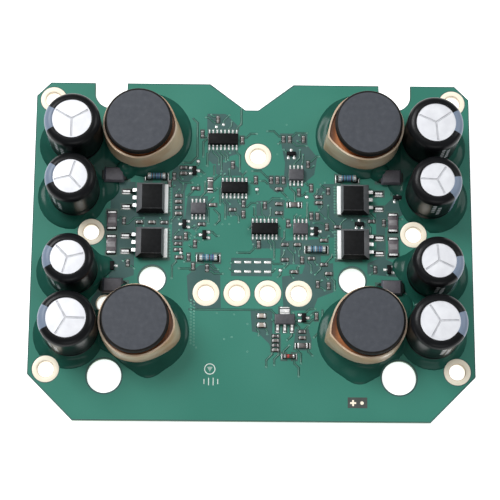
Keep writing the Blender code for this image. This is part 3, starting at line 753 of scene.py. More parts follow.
solder, tree, shader = finish("set_solder", 0.25, metallic=0.4)
shaded(tree, shader, noise(tree, 700, 3), [
    (0.3, (0.66, 0.68, 0.68)), (0.7, (0.82, 0.83, 0.82))])
roughened(tree, shader, noise(tree, 1300, 3), 0.16, 0.4)
bumped(tree, shader, noise(tree, 900, 2), 0.00004, 0.5)

# A near-black painted shade, laid on lead slopes, over lead feet, on solder heaps and round small parts.
painted_shade, tree, shader = finish("painted_shade_dark", 0.25, specular=0.2)
shaded(tree, shader, noise(tree, 900, 3), [
    (0.3, (0.004, 0.007, 0.006)), (0.7, (0.010, 0.016, 0.014))])

# Every soldered place is kept here as (x, y, size along x, size along y), so the copper can clear it.
pads = []
body_from_middle, body_width, body_depth, body_height = 33.2, 8.7, 10.0, 4.4
lead_row, lead_reach, tab_reach = 2.54, 3.4, 1.5


def transistor_taper(normal):
    """True on the mould's tapers, and on no more than the upper edge at the front: the faces that take a
    painted highlight.
    """
    sideways = abs(normal.x) > 0.35 and normal.z > 0.2
    rearward = normal.y > 0.25 and normal.z > 0.2
    front_edge = normal.y < -0.25 and 0.5 < normal.z < 0.9
    return sideways or rearward or front_edge


for depth_name in ("back", "front"):
    for side_name in ("left", "right"):
        name = f"transistor_{depth_name}_{side_name}"
        outward, turn_by = (-1, 180) if side_name == "left" else (1, 0)
        low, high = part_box(name + "_tab")
        centre = body_from_middle * outward
        base = Vector((centre * MM, (low.y + high.y) / 2, low.z))
        middle = base.y / MM
        half_x, half_y = body_width / 2, body_depth / 2
        body = bmesh.new()
        block(body, base, [
            (-half_x + 0.2, half_x - 0.35, -half_y + 0.2, half_y - 0.2, 0.3),
            (-half_x - 0.4, half_x, -half_y, half_y, 1.9), (-half_x - 0.4, half_x, -half_y, half_y, 2.2),
            (-half_x + 0.3, half_x - 1.85, -half_y + 0.95, half_y - 0.95, body_height)], 0.1, 0, turn_by)
        tapered(body, transistor_taper)
        made(name + "_moulding", body, [mould_black, painted_highlight_slope], "moulded_plastic", name + "_body",
             smooth=35)

        tab = bmesh.new()
        edge = -half_x - tab_reach
        block(tab, base, [
            (edge, 2.0, -4.7, 4.7, 0.05), (edge, 2.0, -4.8, 4.8, 0.3), (edge, 2.0, -4.8, 4.8, 1.1),
            (edge + 0.1, 2.0, -4.7, 4.7, 1.25)], 0.08, 0, turn_by)
        made(name + "_plated_tab", tab, [tab_plate], "tinned_metal", name + "_tab", smooth=35)

        leads = bmesh.new()
        for row in (-lead_row, lead_row):
            lead_base = base + Vector((0, row * MM, 0))
            knee = [(half_x - 0.6, 1.9), (half_x + 0.95, 1.9), (half_x + 1.25, 1.72)]
            slope = [(half_x + 1.1, 1.75), (half_x + 1.95, 0.5), (half_x + 2.15, 0.31)]
            toe = [(half_x + 2.1, 0.31), (half_x + 4.5, 0.31)]
            strip(leads, lead_base, knee, 1.0, 0.5, 0, turn_by)
            # The lead's slope takes the dark painted shade.
            strip(leads, lead_base, slope, 0.96, 0.46, 2, turn_by)
            strip(leads, lead_base, toe, 0.6, 0.5, 0, turn_by)
            foot = lead_base + Vector((outward * (half_x + lead_reach) * MM, 0, 0))
            solder_heap(leads, foot - Vector((0, 0.12 * MM, 0)), 3.0, 1.7, 0.16, 0, 1)
            # A thin dark sheet over the foot is painted shade beside the lead.
            block(leads, foot, [(-1.4, 1.4, -0.52, 0.85, 0.05), (-1.4, 1.4, -0.52, 0.85, 0.2)], 0.03, 2)
            pads.append((centre + outward * (half_x + lead_reach), middle + row, 3.4, 2.1))
        stub = [(half_x - 0.6, 1.9), (half_x + 0.9, 1.9), (half_x + 1.2, 1.72)]
        strip(leads, base, stub, 1.1, 0.5, 0, turn_by)
        under_tab = base + Vector((-outward * 2.2, 0, -0.2)) * MM
        solder_heap(leads, under_tab, 7.9, 9.9, 0.26, 0, 1)
        pads.append((centre - outward * 2.2, middle, 8.4, 10.4))
        made(name + "_leads", leads, [lead_tin, solder, painted_shade], "tinned_metal", smooth=40)


# Four power diodes: a moulded body split at the line where its two strips leave the sides and fold
# under it. A dark painted shade covers the strips and the solder round them.
diode_grey, tree, shader = finish("diode_epoxy", 0.4)
shaded(tree, shader, noise(tree, 800, 4), [
    (0.3, (0.056, 0.054, 0.066)), (0.7, (0.082, 0.079, 0.095))])
bumped(tree, shader, noise(tree, 3500, 2), 0.00003, 0.5)
diode_painted_highlight, tree, shader = finish("diode_slope_painted_highlight", 0.3, coat=0.3)
shaded(tree, shader, noise(tree, 700, 3), [
    (0.3, (0.080, 0.080, 0.105)), (0.7, (0.115, 0.115, 0.145))])

for depth_name in ("back", "front"):
    for side_name in ("left", "right"):
        name = f"power_diode_{depth_name}_{side_name}"
        low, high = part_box(name)
        base = foot_of(low, high)
        half_x, half_y = 3.3, 2.5
        diode = bmesh.new()
        block(diode, base, [
            (-half_x + 0.35, half_x - 0.35, -half_y + 0.3, half_y - 0.3, 0.1),
            (-half_x, half_x, -half_y, half_y, 1.1), (-half_x, half_x, -half_y, half_y, 1.3),
            (-half_x + 0.6, half_x - 0.6, -half_y + 0.55, half_y - 0.45, 2.4)], 0.1)
        # The taper on the -X side, towards the key light, takes a lighter painted highlight.
        tapered(diode, lambda normal: 0.2 < normal.z < 0.95 and normal.x < -0.2)
        folded = [(half_x - 0.4, 1.2), (half_x + 0.45, 1.15), (half_x + 0.6, 0.95), (half_x + 0.6, 0.35),
                  (half_x + 0.45, 0.13), (half_x - 1.0, 0.12)]
        for end in (-1, 1):
            # Each folded strip and its solder heap take the dark painted shade.
            strip(diode, base, folded, 3.0, 0.22, 2, 0 if end > 0 else 180)
            heap_base = base + Vector((end * (half_x + 0.1), 0, -0.3)) * MM
            solder_heap(diode, heap_base, 2.5, 3.2, 0.5, 0, 2)
            pads.append((base.x / MM + end * (half_x + 0.1), base.y / MM, 3.1, 3.6))
        made(name + "_moulding", diode, [diode_grey, diode_painted_highlight, painted_shade], "moulded_plastic", name, smooth=35)


# Four shunt resistors: a long flat chip of ceramic with a glassed resistive patch on top. A dark painted
# shade covers its ends and the solder on them, and a thin tinned plate shows on top of each end.
shunt_glaze, tree, shader = finish("shunt_glaze", 0.3, coat=0.3)
shaded(tree, shader, noise(tree, 900, 3), [
    (0.3, (0.058, 0.050, 0.058)), (0.7, (0.098, 0.084, 0.096))])
bumped(tree, shader, noise(tree, 1800, 3), 0.00003, 0.4)
shunt_patch, tree, shader = finish("trimmed_patch", 0.34, metallic=0.3)
shaded(tree, shader, noise(tree, 1400, 4, (0.3, 1, 1)), [
    (0.3, (0.16, 0.15, 0.16)), (0.7, (0.25, 0.24, 0.25))])

for depth_name in ("back", "front"):
    for side_name in ("left", "right"):
        name = f"shunt_resistor_{depth_name}_{side_name}"
        low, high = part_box(name)
        base = foot_of(low, high)
        shunt = bmesh.new()
        block(shunt, base, [(-1.6, 1.6, -2.9, 2.9, 0.04), (-1.6, 1.6, -2.9, 2.9, 0.62)], 0.05, 0)
        block(shunt, base, [(-1.3, 1.3, -0.95, 0.95, 0.55), (-1.25, 1.25, -0.9, 0.9, 0.66)], 0.02, 1)
        for end in (-1, 1):
            tip = sorted((end * 2.1, end * 3.1))
            plate = sorted((end * 2.3, end * 2.95))
            # Each end and its solder heap take the dark painted shade.
            block(shunt, base, [(-1.63, 1.63, *tip, 0.0), (-1.63, 1.63, *tip, 0.64)], 0.06, 2)
            block(shunt, base, [(-1.36, 1.36, *plate, 0.6), (-1.3, 1.3, *plate, 0.72)], 0.03, 3)
            solder_heap(shunt, base + Vector((0, end * 3.05, -0.28)) * MM, 3.5, 0.8, 0.36, 0, 2)
            pads.append((base.x / MM, base.y / MM + end * 3.05, 3.6, 1.4))
        made(name + "_chip", shunt, [shunt_glaze, shunt_patch, painted_shade, lead_tin], "resistor_ceramic", name,
             smooth=35)


# The chips: three with 14 or 16 pins, three with 8, each a moulded body on gull-wing pins, and a
# voltage regulator with one wide tab. A round dimple marks pin 1. The pins stand 1.27 mm apart.
copies_tree, given = shape_tree("placed_copies", ("Part", "Object"), ("Finish", "Material"))
part = copies_tree.nodes.new("GeometryNodeObjectInfo")
copies = copies_tree.nodes.new("GeometryNodeInstanceOnPoints")
stored = {}
for label in ("turn", "size"):
    stored[label] = copies_tree.nodes.new("GeometryNodeInputNamedAttribute")
    stored[label].data_type = "FLOAT_VECTOR"
    stored[label].inputs["Name"].default_value = label
wired(copies_tree, (
    (given["Geometry"], copies.inputs["Points"]),
    (given["Part"], part.inputs["Object"]),
    (part.outputs["Geometry"], copies.inputs["Instance"]),
    (stored["turn"].outputs["Attribute"], copies.inputs["Rotation"]),
    (stored["size"].outputs["Attribute"], copies.inputs["Scale"])),
    copies.outputs["Instances"], given["Finish"])


def placed(name, part_mesh, places, material, slot, smooth=None):
    """One piece: a part's copies at (x, y, degrees) or (x, y, degrees, and its sizes along x, y and z)."""
    if smooth is not None:
        part_mesh.shade_smooth()
        part_mesh.set_sharp_from_angle(angle=math.radians(smooth))
    part = bpy.data.objects.new(name + "_part", part_mesh)
    bpy.context.scene.collection.objects.link(part)
    points = bpy.data.meshes.new(name + "_points")
    points.from_pydata([on_board(x, y) for x, y, *_ in places], [], [])
    turns = points.attributes.new("turn", "FLOAT_VECTOR", "POINT")
    sizes = points.attributes.new("size", "FLOAT_VECTOR", "POINT")
    for i, (x, y, degrees, *size) in enumerate(places):
        turns.data[i].vector = (0, 0, math.radians(degrees))
        sizes.data[i].vector = size or (1, 1, 1)
    mesh = grown(name, points, copies_tree, {"Part": part, "Finish": material})
    bpy.data.objects.remove(part)
    for extra in ("turn", "size"):
        if extra in mesh.attributes:
            mesh.attributes.remove(mesh.attributes[extra])
    return fixed(add_piece(name, mesh), slot)


matt_mould, tree, shader = finish("matt_chip_epoxy", 0.5)
shaded(tree, shader, noise(tree, 900, 4), [
    (0.3, (0.040, 0.041, 0.049)), (0.7, (0.060, 0.062, 0.071))])
bumped(tree, shader, noise(tree, 4000, 2), 0.00003, 0.5)


def left_taper(normal):
    """True on a moulding's taper on the side towards -X, the key light's side, which takes a painted
    highlight.
    """
    return 0.1 < normal.z < 0.97 and normal.x < -0.3


pin_pitch, pin_foot = 1.27, 2.85
pin_path = [(1.75, 0.62), (2.15, 0.62), (2.32, 0.56), (2.50, 0.20), (2.62, 0.12), (3.05, 0.12)]
pin_places = []
chip_pins = {"controller_chip": 8, "logic_chip_1": 7, "logic_chip_2": 7,
             "driver_chip_1": 4, "driver_chip_2": 4, "driver_chip_3": 4}
for name, pins in chip_pins.items():
    low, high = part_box(name)
    base = foot_of(low, high)
    half_x, half_y = (high.x - low.x) / 2 / MM, 1.95
    chip = bmesh.new()
    block(chip, base, [
        (-half_x + 0.12, half_x - 0.12, -half_y + 0.12, half_y - 0.12, 0.1),
        (-half_x, half_x, -half_y, half_y, 0.7), (-half_x, half_x, -half_y, half_y, 0.8),
        (-half_x + 0.14, half_x - 0.14, -half_y + 0.3, half_y - 0.14, 1.5)], 0.05)
    # The -X taper takes the grey painted highlight.
    tapered(chip, left_taper)
    turned(chip, base + Vector((-half_x + 0.85, -half_y + 0.95, 0)) * MM, [
        (0, 1.44), (0.22, 1.44), (0.3, 1.505), (0.34, 1.505), (0.34, 1.45), (0, 1.42)], 16)
    mould = matt_mould if name.startswith("driver") else mould_black
    made(name + "_moulding", chip, [mould, painted_highlight_slope], "moulded_plastic", name, smooth=35)
    for i in range(pins):
        x, y = base.x / MM + (i - (pins - 1) / 2) * pin_pitch, base.y / MM
        for row, degrees in ((1, 90), (-1, -90)):
            pin_places.append((x, y, degrees))
            pads.append((x, y + row * pin_foot, 0.62, 1.5))
pin_shape = bmesh.new()
strip(pin_shape, Vector((0, 0, 0)), pin_path, 0.42, 0.2)
placed("chip_pins", as_mesh(pin_shape, "pin"), pin_places, lead_tin, "tinned_metal", 35)
heap_shape = bmesh.new()
solder_heap(heap_shape, Vector((pin_foot * MM, 0, 0)), 1.3, 0.55, 0.2)
placed("chip_pin_solder", as_mesh(heap_shape, "heap"), pin_places, solder, "tinned_metal", 60)

low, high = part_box("voltage_regulator")
x, y = 10.4, -23.2
base = Vector((x * MM, y * MM, low.z))
regulator = bmesh.new()
block(regulator, base, [
    (-3.1, 3.1, -1.6, 1.6, 0.1), (-3.25, 3.25, -1.75, 1.75, 0.8), (-3.25, 3.25, -1.75, 1.75, 0.95),
    (-3.0, 3.0, -1.5, 1.5, 1.6)], 0.06)
# Its -X taper takes the grey painted highlight.
tapered(regulator, left_taper)
for shift, width, degrees in ((-2.3, 0.75, -90), (0, 0.75, -90), (2.3, 0.75, -90), (0, 3.0, 90)):
    foot = base + Vector((shift * MM, 0, 0))
    facing = -1 if degrees < 0 else 1
    strip(regulator, foot, foot_curve(1.5, 1.95, 2.5, 3.5, 0.85, 0.26), width, 0.26, 2, degrees)
    # The heap round each pin's foot takes the dark painted shade; the thin rim beyond it is bright solder.
    solder_heap(regulator, foot + Vector((0, facing * 3.1, -0.25)) * MM, width + 0.5, 1.8, 0.40, 0, 4)
    solder_heap(regulator, foot + Vector((0, facing * 4.0, -0.25)) * MM, width + 0.3, 0.45, 0.40, 0, 3)
    pads.append((x + shift, y + facing * 3.1, width + 0.7, 2.1))
made("regulator_moulding", regulator, [matt_mould, painted_highlight_slope, lead_tin, solder, painted_shade], "moulded_plastic",
     "voltage_regulator", smooth=35)


# Four round resistors and one small diode: a ceramic rod under coloured lacquer with painted bands,
# a pressed metal cap on each end, lying across two pads with solder up the caps.
cap_metal, tree, shader = finish("pressed_end_cap", 0.28, metallic=0.7)
shaded(tree, shader, noise(tree, 700, 3), [
    (0.3, (0.42, 0.45, 0.46)), (0.7, (0.66, 0.68, 0.68))])
blue_lacquer, tree, shader = finish("blue_lacquer", 0.32, coat=0.5)
shaded(tree, shader, noise(tree, 900, 2), [
    (0.3, (0.050, 0.165, 0.250)), (0.7, (0.075, 0.215, 0.310))])
bumped(tree, shader, noise(tree, 900, 2), 0.00003, 0.4)
band_colours = {
    "brown": (0.075, 0.022, 0.012), "black": (0.012, 0.012, 0.013), "violet": (0.06, 0.03, 0.16),
    "pale": (0.40, 0.45, 0.47), "red": (0.40, 0.03, 0.025)}
band_finishes = {}
for colour_name, colour in band_colours.items():
    paint, tree, shader = finish(colour_name + "_band_paint", 0.35, coat=0.4)
    shaded(tree, shader, noise(tree, 1200, 2), [
        (0.3, tuple(0.85 * value for value in colour)), (0.7, tuple(1.15 * value for value in colour))])
    band_finishes[colour_name] = paint


def lying(shape, base, profile, materials):
    """Adds a turned rod that lies along X, its profile (radius, place along X) in mm."""
    rod = bmesh.new()
    turned(rod, Vector((0, 0, 0)), profile, 24, materials=materials)
    bmesh.ops.transform(rod, matrix=Matrix.Rotation(math.radians(90), 4, "Y"), verts=rod.verts)
    bmesh.ops.translate(rod, vec=base, verts=rod.verts)
    loose = bpy.data.meshes.new("rod")
    rod.to_mesh(loose)
    rod.free()
    shape.from_mesh(loose)
    bpy.data.meshes.remove(loose)


rods = {"round_resistor_1": (2.9, 1.1, ("brown", "black", "violet", "brown")),
        "round_resistor_2": (2.9, 1.1, ("brown", "black", "violet", "brown")),
        "round_resistor_3": (2.9, 1.1, ("black", "pale", "brown", "violet")),
        "round_resistor_4": (2.9, 1.1, ("black", "pale", "brown", "violet")),
        "signal_diode": (1.75, 0.7, ("red",))}
for name, (half, radius, bands) in rods.items():
    low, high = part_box(name)
    base = foot_of(low, high) + Vector((0, 0, radius * MM))
    cap = half * 0.36
    inner = half - cap
    profile = [(0, -half), (radius * 0.8, -half), (radius, -half + 0.15), (radius, -inner - 0.1),
               (radius * 0.9, -inner)]
    materials = [0, 0, 0, 0]
    body_radius = radius * 0.93
    if len(bands) > 1:
        for i, band in enumerate(bands):
            centre = -inner + 2 * inner * (i + 0.6) / (len(bands) + 0.2)
            for place in (centre - 0.17, centre + 0.17):
                profile.append((body_radius, place))
            materials += [1, 2 + i]
    else:
        profile += [(body_radius, -inner + 0.5), (body_radius, -inner + 1.1)]
        materials += [1, 2]
    profile += [(body_radius * 0.97, inner), (radius, inner + 0.1), (radius, half - 0.15),
                (radius * 0.8, half), (0, half)]
    materials += [1, 0, 0, 0, 0]
    shape = bmesh.new()
    lying(shape, base, profile, materials)
    solder_index = 2 + len(bands)
    board_base = Vector((base.x, base.y, board_top))
    for end in (-1, 1):
        # The heap at each cap takes the dark painted shade; a thin rim of bright solder lies beyond it.
        shaded_heap_place = board_base + Vector((end * (half - 0.15) * MM, 0, 0))
        rim_place = board_base + Vector((end * (half + radius * 0.6 + 0.12) * MM, 0, 0))
        solder_heap(shape, shaded_heap_place, radius * 1.3 + 0.45, radius * 2 + 0.3, radius * 0.45, 0,
                    solder_index + 1)
        solder_heap(shape, rim_place, 0.32, radius * 2 + 0.45, 0.14, 0, solder_index)
        pads.append((base.x / MM + end * half * 0.95, base.y / MM, radius * 1.7 + 0.5, radius * 2 + 1.1))
    body_finish = blue_lacquer if len(bands) > 1 else band_finishes["brown"]
    finishes = [cap_metal, body_finish, *[band_finishes[band] for band in bands], solder, painted_shade]
    made(name + "_rod", shape, finishes, "blue_lacquer", name, smooth=35)


# Three larger chip resistors: a ceramic block with a dark glaze on top and wrapped tin ends.
resistor_glaze, tree, shader = finish("resistor_glaze", 0.3, coat=0.4)
shaded(tree, shader, noise(tree, 1100, 3), [
    (0.3, (0.060, 0.055, 0.054)), (0.7, (0.110, 0.098, 0.095))])
bumped(tree, shader, noise(tree, 2200, 2), 0.00002, 0.5)

large_places = [(-13.8, 21.2, 90), (13.5, 14.8, 0), (16.1, -31.5, 0)]
for number, (x, y, degrees) in enumerate(large_places, 1):
    shape = bmesh.new()
    base = on_board(x, y, 0.06)
    block(shape, base, [(-1.4, 1.4, -0.8, 0.8, 0.0), (-1.4, 1.4, -0.8, 0.8, 0.5)], 0.04, 0, degrees)
    block(shape, base, [(-0.95, 0.95, -0.7, 0.7, 0.45), (-0.92, 0.92, -0.68, 0.68, 0.55)], 0.02, 0, degrees)
    along = Vector((math.cos(math.radians(degrees)), math.sin(math.radians(degrees)), 0))
    for end in (-1, 1):
        tip = sorted((end * 1.15, end * 1.6))
        block(shape, base, [(*tip, -0.82, 0.82, -0.02), (*tip, -0.82, 0.82, 0.54)], 0.06, 1, degrees)
        foot = base - Vector((0, 0, 0.05 * MM))
        # The inner heap at each end takes the dark painted shade; the outer one is bright solder.
        solder_heap(shape, foot + along * (end * 1.9 * MM), 0.8, 1.9, 0.2, degrees, 3)
        solder_heap(shape, foot + along * (end * 2.3 * MM), 0.3, 1.9, 0.16, degrees, 2)
        spot = base + along * (end * 1.8 * MM)
        size = (1.9, 1.5) if degrees == 90 else (1.5, 1.9)
        pads.append((spot.x / MM, spot.y / MM, *size))
    name = f"chip_resistor_{number}"
    made(name + "_block", shape, [resistor_glaze, lead_tin, solder, painted_shade], "resistor_ceramic", name,
         smooth=35)


# The small chip parts: ceramic resistors and capacitors, each a block with two tinned ends, and small
# moulded transistors with three pins. A machine places them and one pass of the oven solders them.
# A place is (x, y, degrees); the long side lies along X at 0, on a half-millimetre placement grid.
small_resistor_places = [
    (-16.5, 38.5, 90), (-6.5, 28.0, 90), (-22.5, 27.0, 0), (-25.5, 24.0, 90), (10.0, 37.0, 90),
    (18.0, 28.5, 90), (6.0, 23.0, 90), (10.0, 23.0, 90), (15.0, 19.0, 90), (-24.0, 17.5, 0),
    (-24.0, 13.5, 0), (-18.5, 20.0, 0), (-16.5, 8.0, 0), (-6.5, 13.0, 0), (-3.0, 15.0, 90),
    (-24.0, 3.5, 0), (-24.0, 1.5, 0), (-24.0, -0.5, 0), (-18.5, 1.5, 90), (-20.5, -3.0, 90),
    (-14.5, -6.5, 90), (4.0, 14.5, 90), (8.5, 12.0, 0), (10.5, 1.5, 0), (19.0, 11.0, 90),
    (11.5, 8.5, 90), (24.5, 19.5, 90), (21.5, 17.5, 0), (27.5, 7.5, 0),
    (38.5, 9.5, 0), (42.5, 9.0, 90), (23.0, -5.0, 0), (21.0, -11.5, 90), (10.5, -3.5, 0),
    (19.0, -3.0, 0), (39.5, -6.5, 90), (-40.0, -5.0, 90), (16.0, -27.0, 0), (7.5, -28.5, 0),
    (7.5, -31.5, 0), (-28.5, 8.5, 0), (-41.5, 9.0, 90),
]
small_capacitor_places = [
    (-11.5, 43.5, 90), (-3.5, 36.5, 90), (-22.5, 25.0, 0), (12.0, 37.0, 90), (16.5, 37.0, 90),
    (1.0, 23.0, 90), (8.0, 23.0, 90), (8.5, 20.0, 0), (19.0, 20.5, 90), (-24.0, 15.5, 0),
    (-24.0, 11.5, 0), (-13.0, 14.5, 0), (-3.0, 11.5, 90), (-21.5, 4.0, 90), (-23.5, -3.0, 0),
    (-19.0, -6.0, 90), (8.5, 15.0, 0), (2.0, 1.5, 90), (14.5, 1.5, 0), (21.0, 11.0, 90),
    (21.5, 15.5, 0), (24.0, 7.5, 90), (23.0, 3.0, 0), (24.5, -8.0, 0), (24.5, -12.0, 90),
    (13.5, -7.5, 0), (16.0, -3.5, 90), (16.0, -29.0, 0), (7.5, -30.0, 0), (7.5, -33.0, 0),
    (-32.5, 8.5, 0), (-36.5, 8.5, 0), (20.5, -22.0, 90), (-27.0, 21.5, 90),
]
large_capacitor_places = [(3.0, -22.0, 0), (3.0, -25.0, 0)]
# A small transistor's single pin faces +X at 0.
small_transistor_places = [
    (-22.0, 8.0, 180), (-15.5, 4.5, 180), (12.5, 32.0, 90), (16.5, -22.5, 0), (20.5, 6.0, 0),
    (44.0, -6.5, 180), (34.5, 8.5, 90), (-19.0, 26.0, 0), (47.0, 17.5, 90), (-45.0, -6.0, 0),
]

glazed, tree, shader = finish("small_resistor_glaze", 0.34, coat=0.3)
shaded(tree, shader, noise(tree, 600, 2), [
    (0.3, (0.040, 0.040, 0.042)), (0.7, (0.075, 0.073, 0.074))])
fired, tree, shader = finish("fired_capacitor_ceramic", 0.45)
shaded(tree, shader, noise(tree, 500, 3), [
    (0.3, (0.105, 0.092, 0.088)), (0.7, (0.185, 0.165, 0.155))])
bumped(tree, shader, noise(tree, 2600, 2), 0.00002, 0.5)
tan_fired, tree, shader = finish("tan_capacitor_ceramic", 0.42)
shaded(tree, shader, noise(tree, 700, 3), [
    (0.3, (0.30, 0.26, 0.22)), (0.7, (0.42, 0.36, 0.31))])
bumped(tree, shader, noise(tree, 2600, 2), 0.00002, 0.5)
end_tin, tree, shader = finish("tinned_chip_end", 0.36, metallic=0.45)
shaded(tree, shader, noise(tree, 900, 3), [
    (0.3, (0.26, 0.27, 0.27)), (0.7, (0.44, 0.44, 0.43))])
bumped(tree, shader, noise(tree, 2200, 2), 0.00003, 0.6)


def small_block(length, width, height, bevel):
    """One rounded block, standing just off the board."""
    shape = bmesh.new()
    half_x, half_y = length / 2, width / 2
    block(shape, Vector((0, 0, 0.05 * MM)), [
        (-half_x, half_x, -half_y, half_y, 0.0), (-half_x, half_x, -half_y, half_y, height)], bevel)
    return as_mesh(shape, "small_block")


def end_pair(inner, outer, width, height, reach, rise):
    """The two tinned ends with the solder that climbs them from the pads."""
    shape = bmesh.new()
    half = width / 2
    for end in (-1, 1):
        tip = sorted((end * inner, end * outer))
        block(shape, Vector((0, 0, 0)), [(*tip, -half, half, 0.02), (*tip, -half, half, height)], 0.05)
        heap_place = Vector((end * (outer + reach / 2 - 0.1) * MM, 0, 0))
        solder_heap(shape, heap_place, reach + 0.2, width + 0.1, rise)
    return as_mesh(shape, "end_pair")


for name, sizes, places, material in (
        ("small_resistors", (1.3, 0.82, 0.42, 0.04), small_resistor_places, glazed),
        ("small_capacitors", (1.3, 0.84, 0.72, 0.06), small_capacitor_places, fired),
        ("large_capacitors", (1.6, 1.3, 1.0, 0.08), large_capacitor_places, tan_fired)):
    placed(name, small_block(*sizes), places, material, "resistor_ceramic", 35)
for name, sizes, places, material in (
        ("small_resistor_ends", (0.56, 0.82, 0.86, 0.5, 0.30, 0.20), small_resistor_places, end_tin),
        ("small_capacitor_ends", (0.56, 0.82, 0.88, 0.8, 0.30, 0.30), small_capacitor_places, end_tin),
        ("large_capacitor_ends", (0.75, 1.05, 1.36, 1.1, 0.32, 0.3), large_capacitor_places, lead_tin)):
    placed(name, end_pair(*sizes), places, material, "tinned_metal", 40)
all_small_places = small_resistor_places + small_capacitor_places
# Thin dark sheets round the small parts are painted shade where they meet the board.
placed("small_flux_rims", small_block(2.55, 1.3, 0.03, 0.01), all_small_places, painted_shade, "solder_mask")
placed("large_flux_rims", small_block(3.1, 1.8, 0.03, 0.01), large_capacitor_places, painted_shade, "solder_mask")
for places, reach, width, depth in (
        (small_resistor_places, 1.0, 0.9, 1.1), (small_capacitor_places, 1.0, 0.9, 1.1),
        (large_capacitor_places, 1.35, 1.1, 1.6)):
    for x, y, degrees in places:
        for end in (-1, 1):
            if degrees == 90:
                pads.append((x, y + end * reach, depth, width))
            else:
                pads.append((x + end * reach, y, width, depth))

moulded = bmesh.new()
block(moulded, Vector((0, 0, 0)), [
    (-0.6, 0.6, -1.4, 1.4, 0.1), (-0.7, 0.7, -1.5, 1.5, 0.5), (-0.7, 0.7, -1.5, 1.5, 0.6),
    (-0.55, 0.55, -1.35, 1.35, 1.05)], 0.04)
placed("small_transistors", as_mesh(moulded, "small_moulding"), small_transistor_places, mould_black,
       "moulded_plastic", 35)
pins = bmesh.new()
small_pin_row, small_pin_foot = 0.95, 1.3
small_pin_path = [(0.6, 0.5), (0.85, 0.5), (0.95, 0.4), (1.02, 0.15), (1.12, 0.1), (1.45, 0.1)]
for row, facing, degrees in ((0, 1, 0), (small_pin_row, -1, 180), (-small_pin_row, -1, 180)):
    pin_base = Vector((0, row * MM, 0))
    strip(pins, pin_base, small_pin_path, 0.42, 0.14, 0, degrees)
    solder_heap(pins, pin_base + Vector((facing * small_pin_foot * MM, 0, 0)), 1.0, 0.85, 0.16)
placed("small_transistor_pins", as_mesh(pins, "small_pins"), small_transistor_places, solder,
       "tinned_metal", 40)
for x, y, degrees in small_transistor_places:
    spin = Matrix.Rotation(math.radians(degrees), 2)
    size = (0.95, 1.15) if degrees == 90 else (1.15, 0.95)
    for spot in ((small_pin_foot, 0), (-small_pin_foot, small_pin_row), (-small_pin_foot, -small_pin_row)):
        place = spin @ Vector(spot)
        pads.append((x + place.x, y + place.y, *size))


# The plated bores: a ring of bare plated copper on each face, joined by the barrel between them, with a
# mouth that rounds over. Screws and the supply terminals clamp on them. Two have only a narrow ring.
ring_plate, tree, shader = finish("plated_ring", 0.42)
shaded(tree, shader, noise(tree, 180, 3), [
    (0.3, (0.91, 0.82, 0.65)), (0.7, (0.97, 0.90, 0.75))])
bumped(tree, shader, noise(tree, 1200, 2), 0.00003, 0.4)
bore_plate, tree, shader = finish("plated_bore", 0.45)
shaded(tree, shader, noise(tree, 180, 3), [
    (0.3, (0.86, 0.72, 0.54)), (0.7, (0.95, 0.85, 0.70))])

ring_reach, narrow_reach = 4.25, 2.72
narrow_holes = [(side * hidden_hole[0], hidden_hole[1]) for side in (-1, 1)]
rings = bmesh.new()
for x, y in screw_holes:
    reach = narrow_reach if (x, y) in narrow_holes else ring_reach
    under = -board_thickness
    turned(rings, on_board(x, y), [
        (2.54, under + 0.1), (2.8, under - 0.04), (reach - 0.05, under - 0.04), (reach, under + 0.02),
        (reach, -0.02), (reach, 0.06), (reach - 0.06, 0.11), (2.88, 0.11), (2.78, 0.09), (2.68, 0.04),
        (2.58, -0.06), (2.54, -0.2)], 72, closed=True, materials=[1, 0, 0, 0, 0, 0, 0, 1, 1, 1, 1, 1])
made("plated_rings", rings, [ring_plate, bore_plate], "tinned_metal", smooth=40)


# The bare pads in the middle, where a test plug or a ribbon would be soldered, and a few test dots.
bare_pad_places = [(-4.7 + 3.2 * column, y, 0) for column in range(4) for y in (-4.4, -7.5)]
pad_shape = bmesh.new()
solder_heap(pad_shape, Vector((0, 0, -0.02 * MM)), 2.3, 0.85, 0.22)
placed("bare_pads", as_mesh(pad_shape, "bare_pad"), bare_pad_places, solder, "tinned_metal", 60)
pads += [(x, y, 2.3, 0.8) for x, y, degrees in bare_pad_places]
dot_places = [(-17.8, 29.2, 0), (1.4, 19.9, 0), (-12.0, 41.0, 0), (-9.7, 41.8, 0), (-23.0, -1.5, 0),
              (12.0, 8.0, 0), (17.5, 17.5, 0), (9.0, -7.0, 0)]
dot_shape = bmesh.new()
turned(dot_shape, Vector((0, 0, 0)), [(0, -0.02), (0.45, -0.02), (0.45, 0.03), (0.3, 0.1), (0, 0.14)], 16)
placed("test_dots", as_mesh(dot_shape, "test_dot"), dot_places, solder, "tinned_metal", 60)
pads += [(x, y, 0.9, 0.9) for x, y, degrees in dot_places]


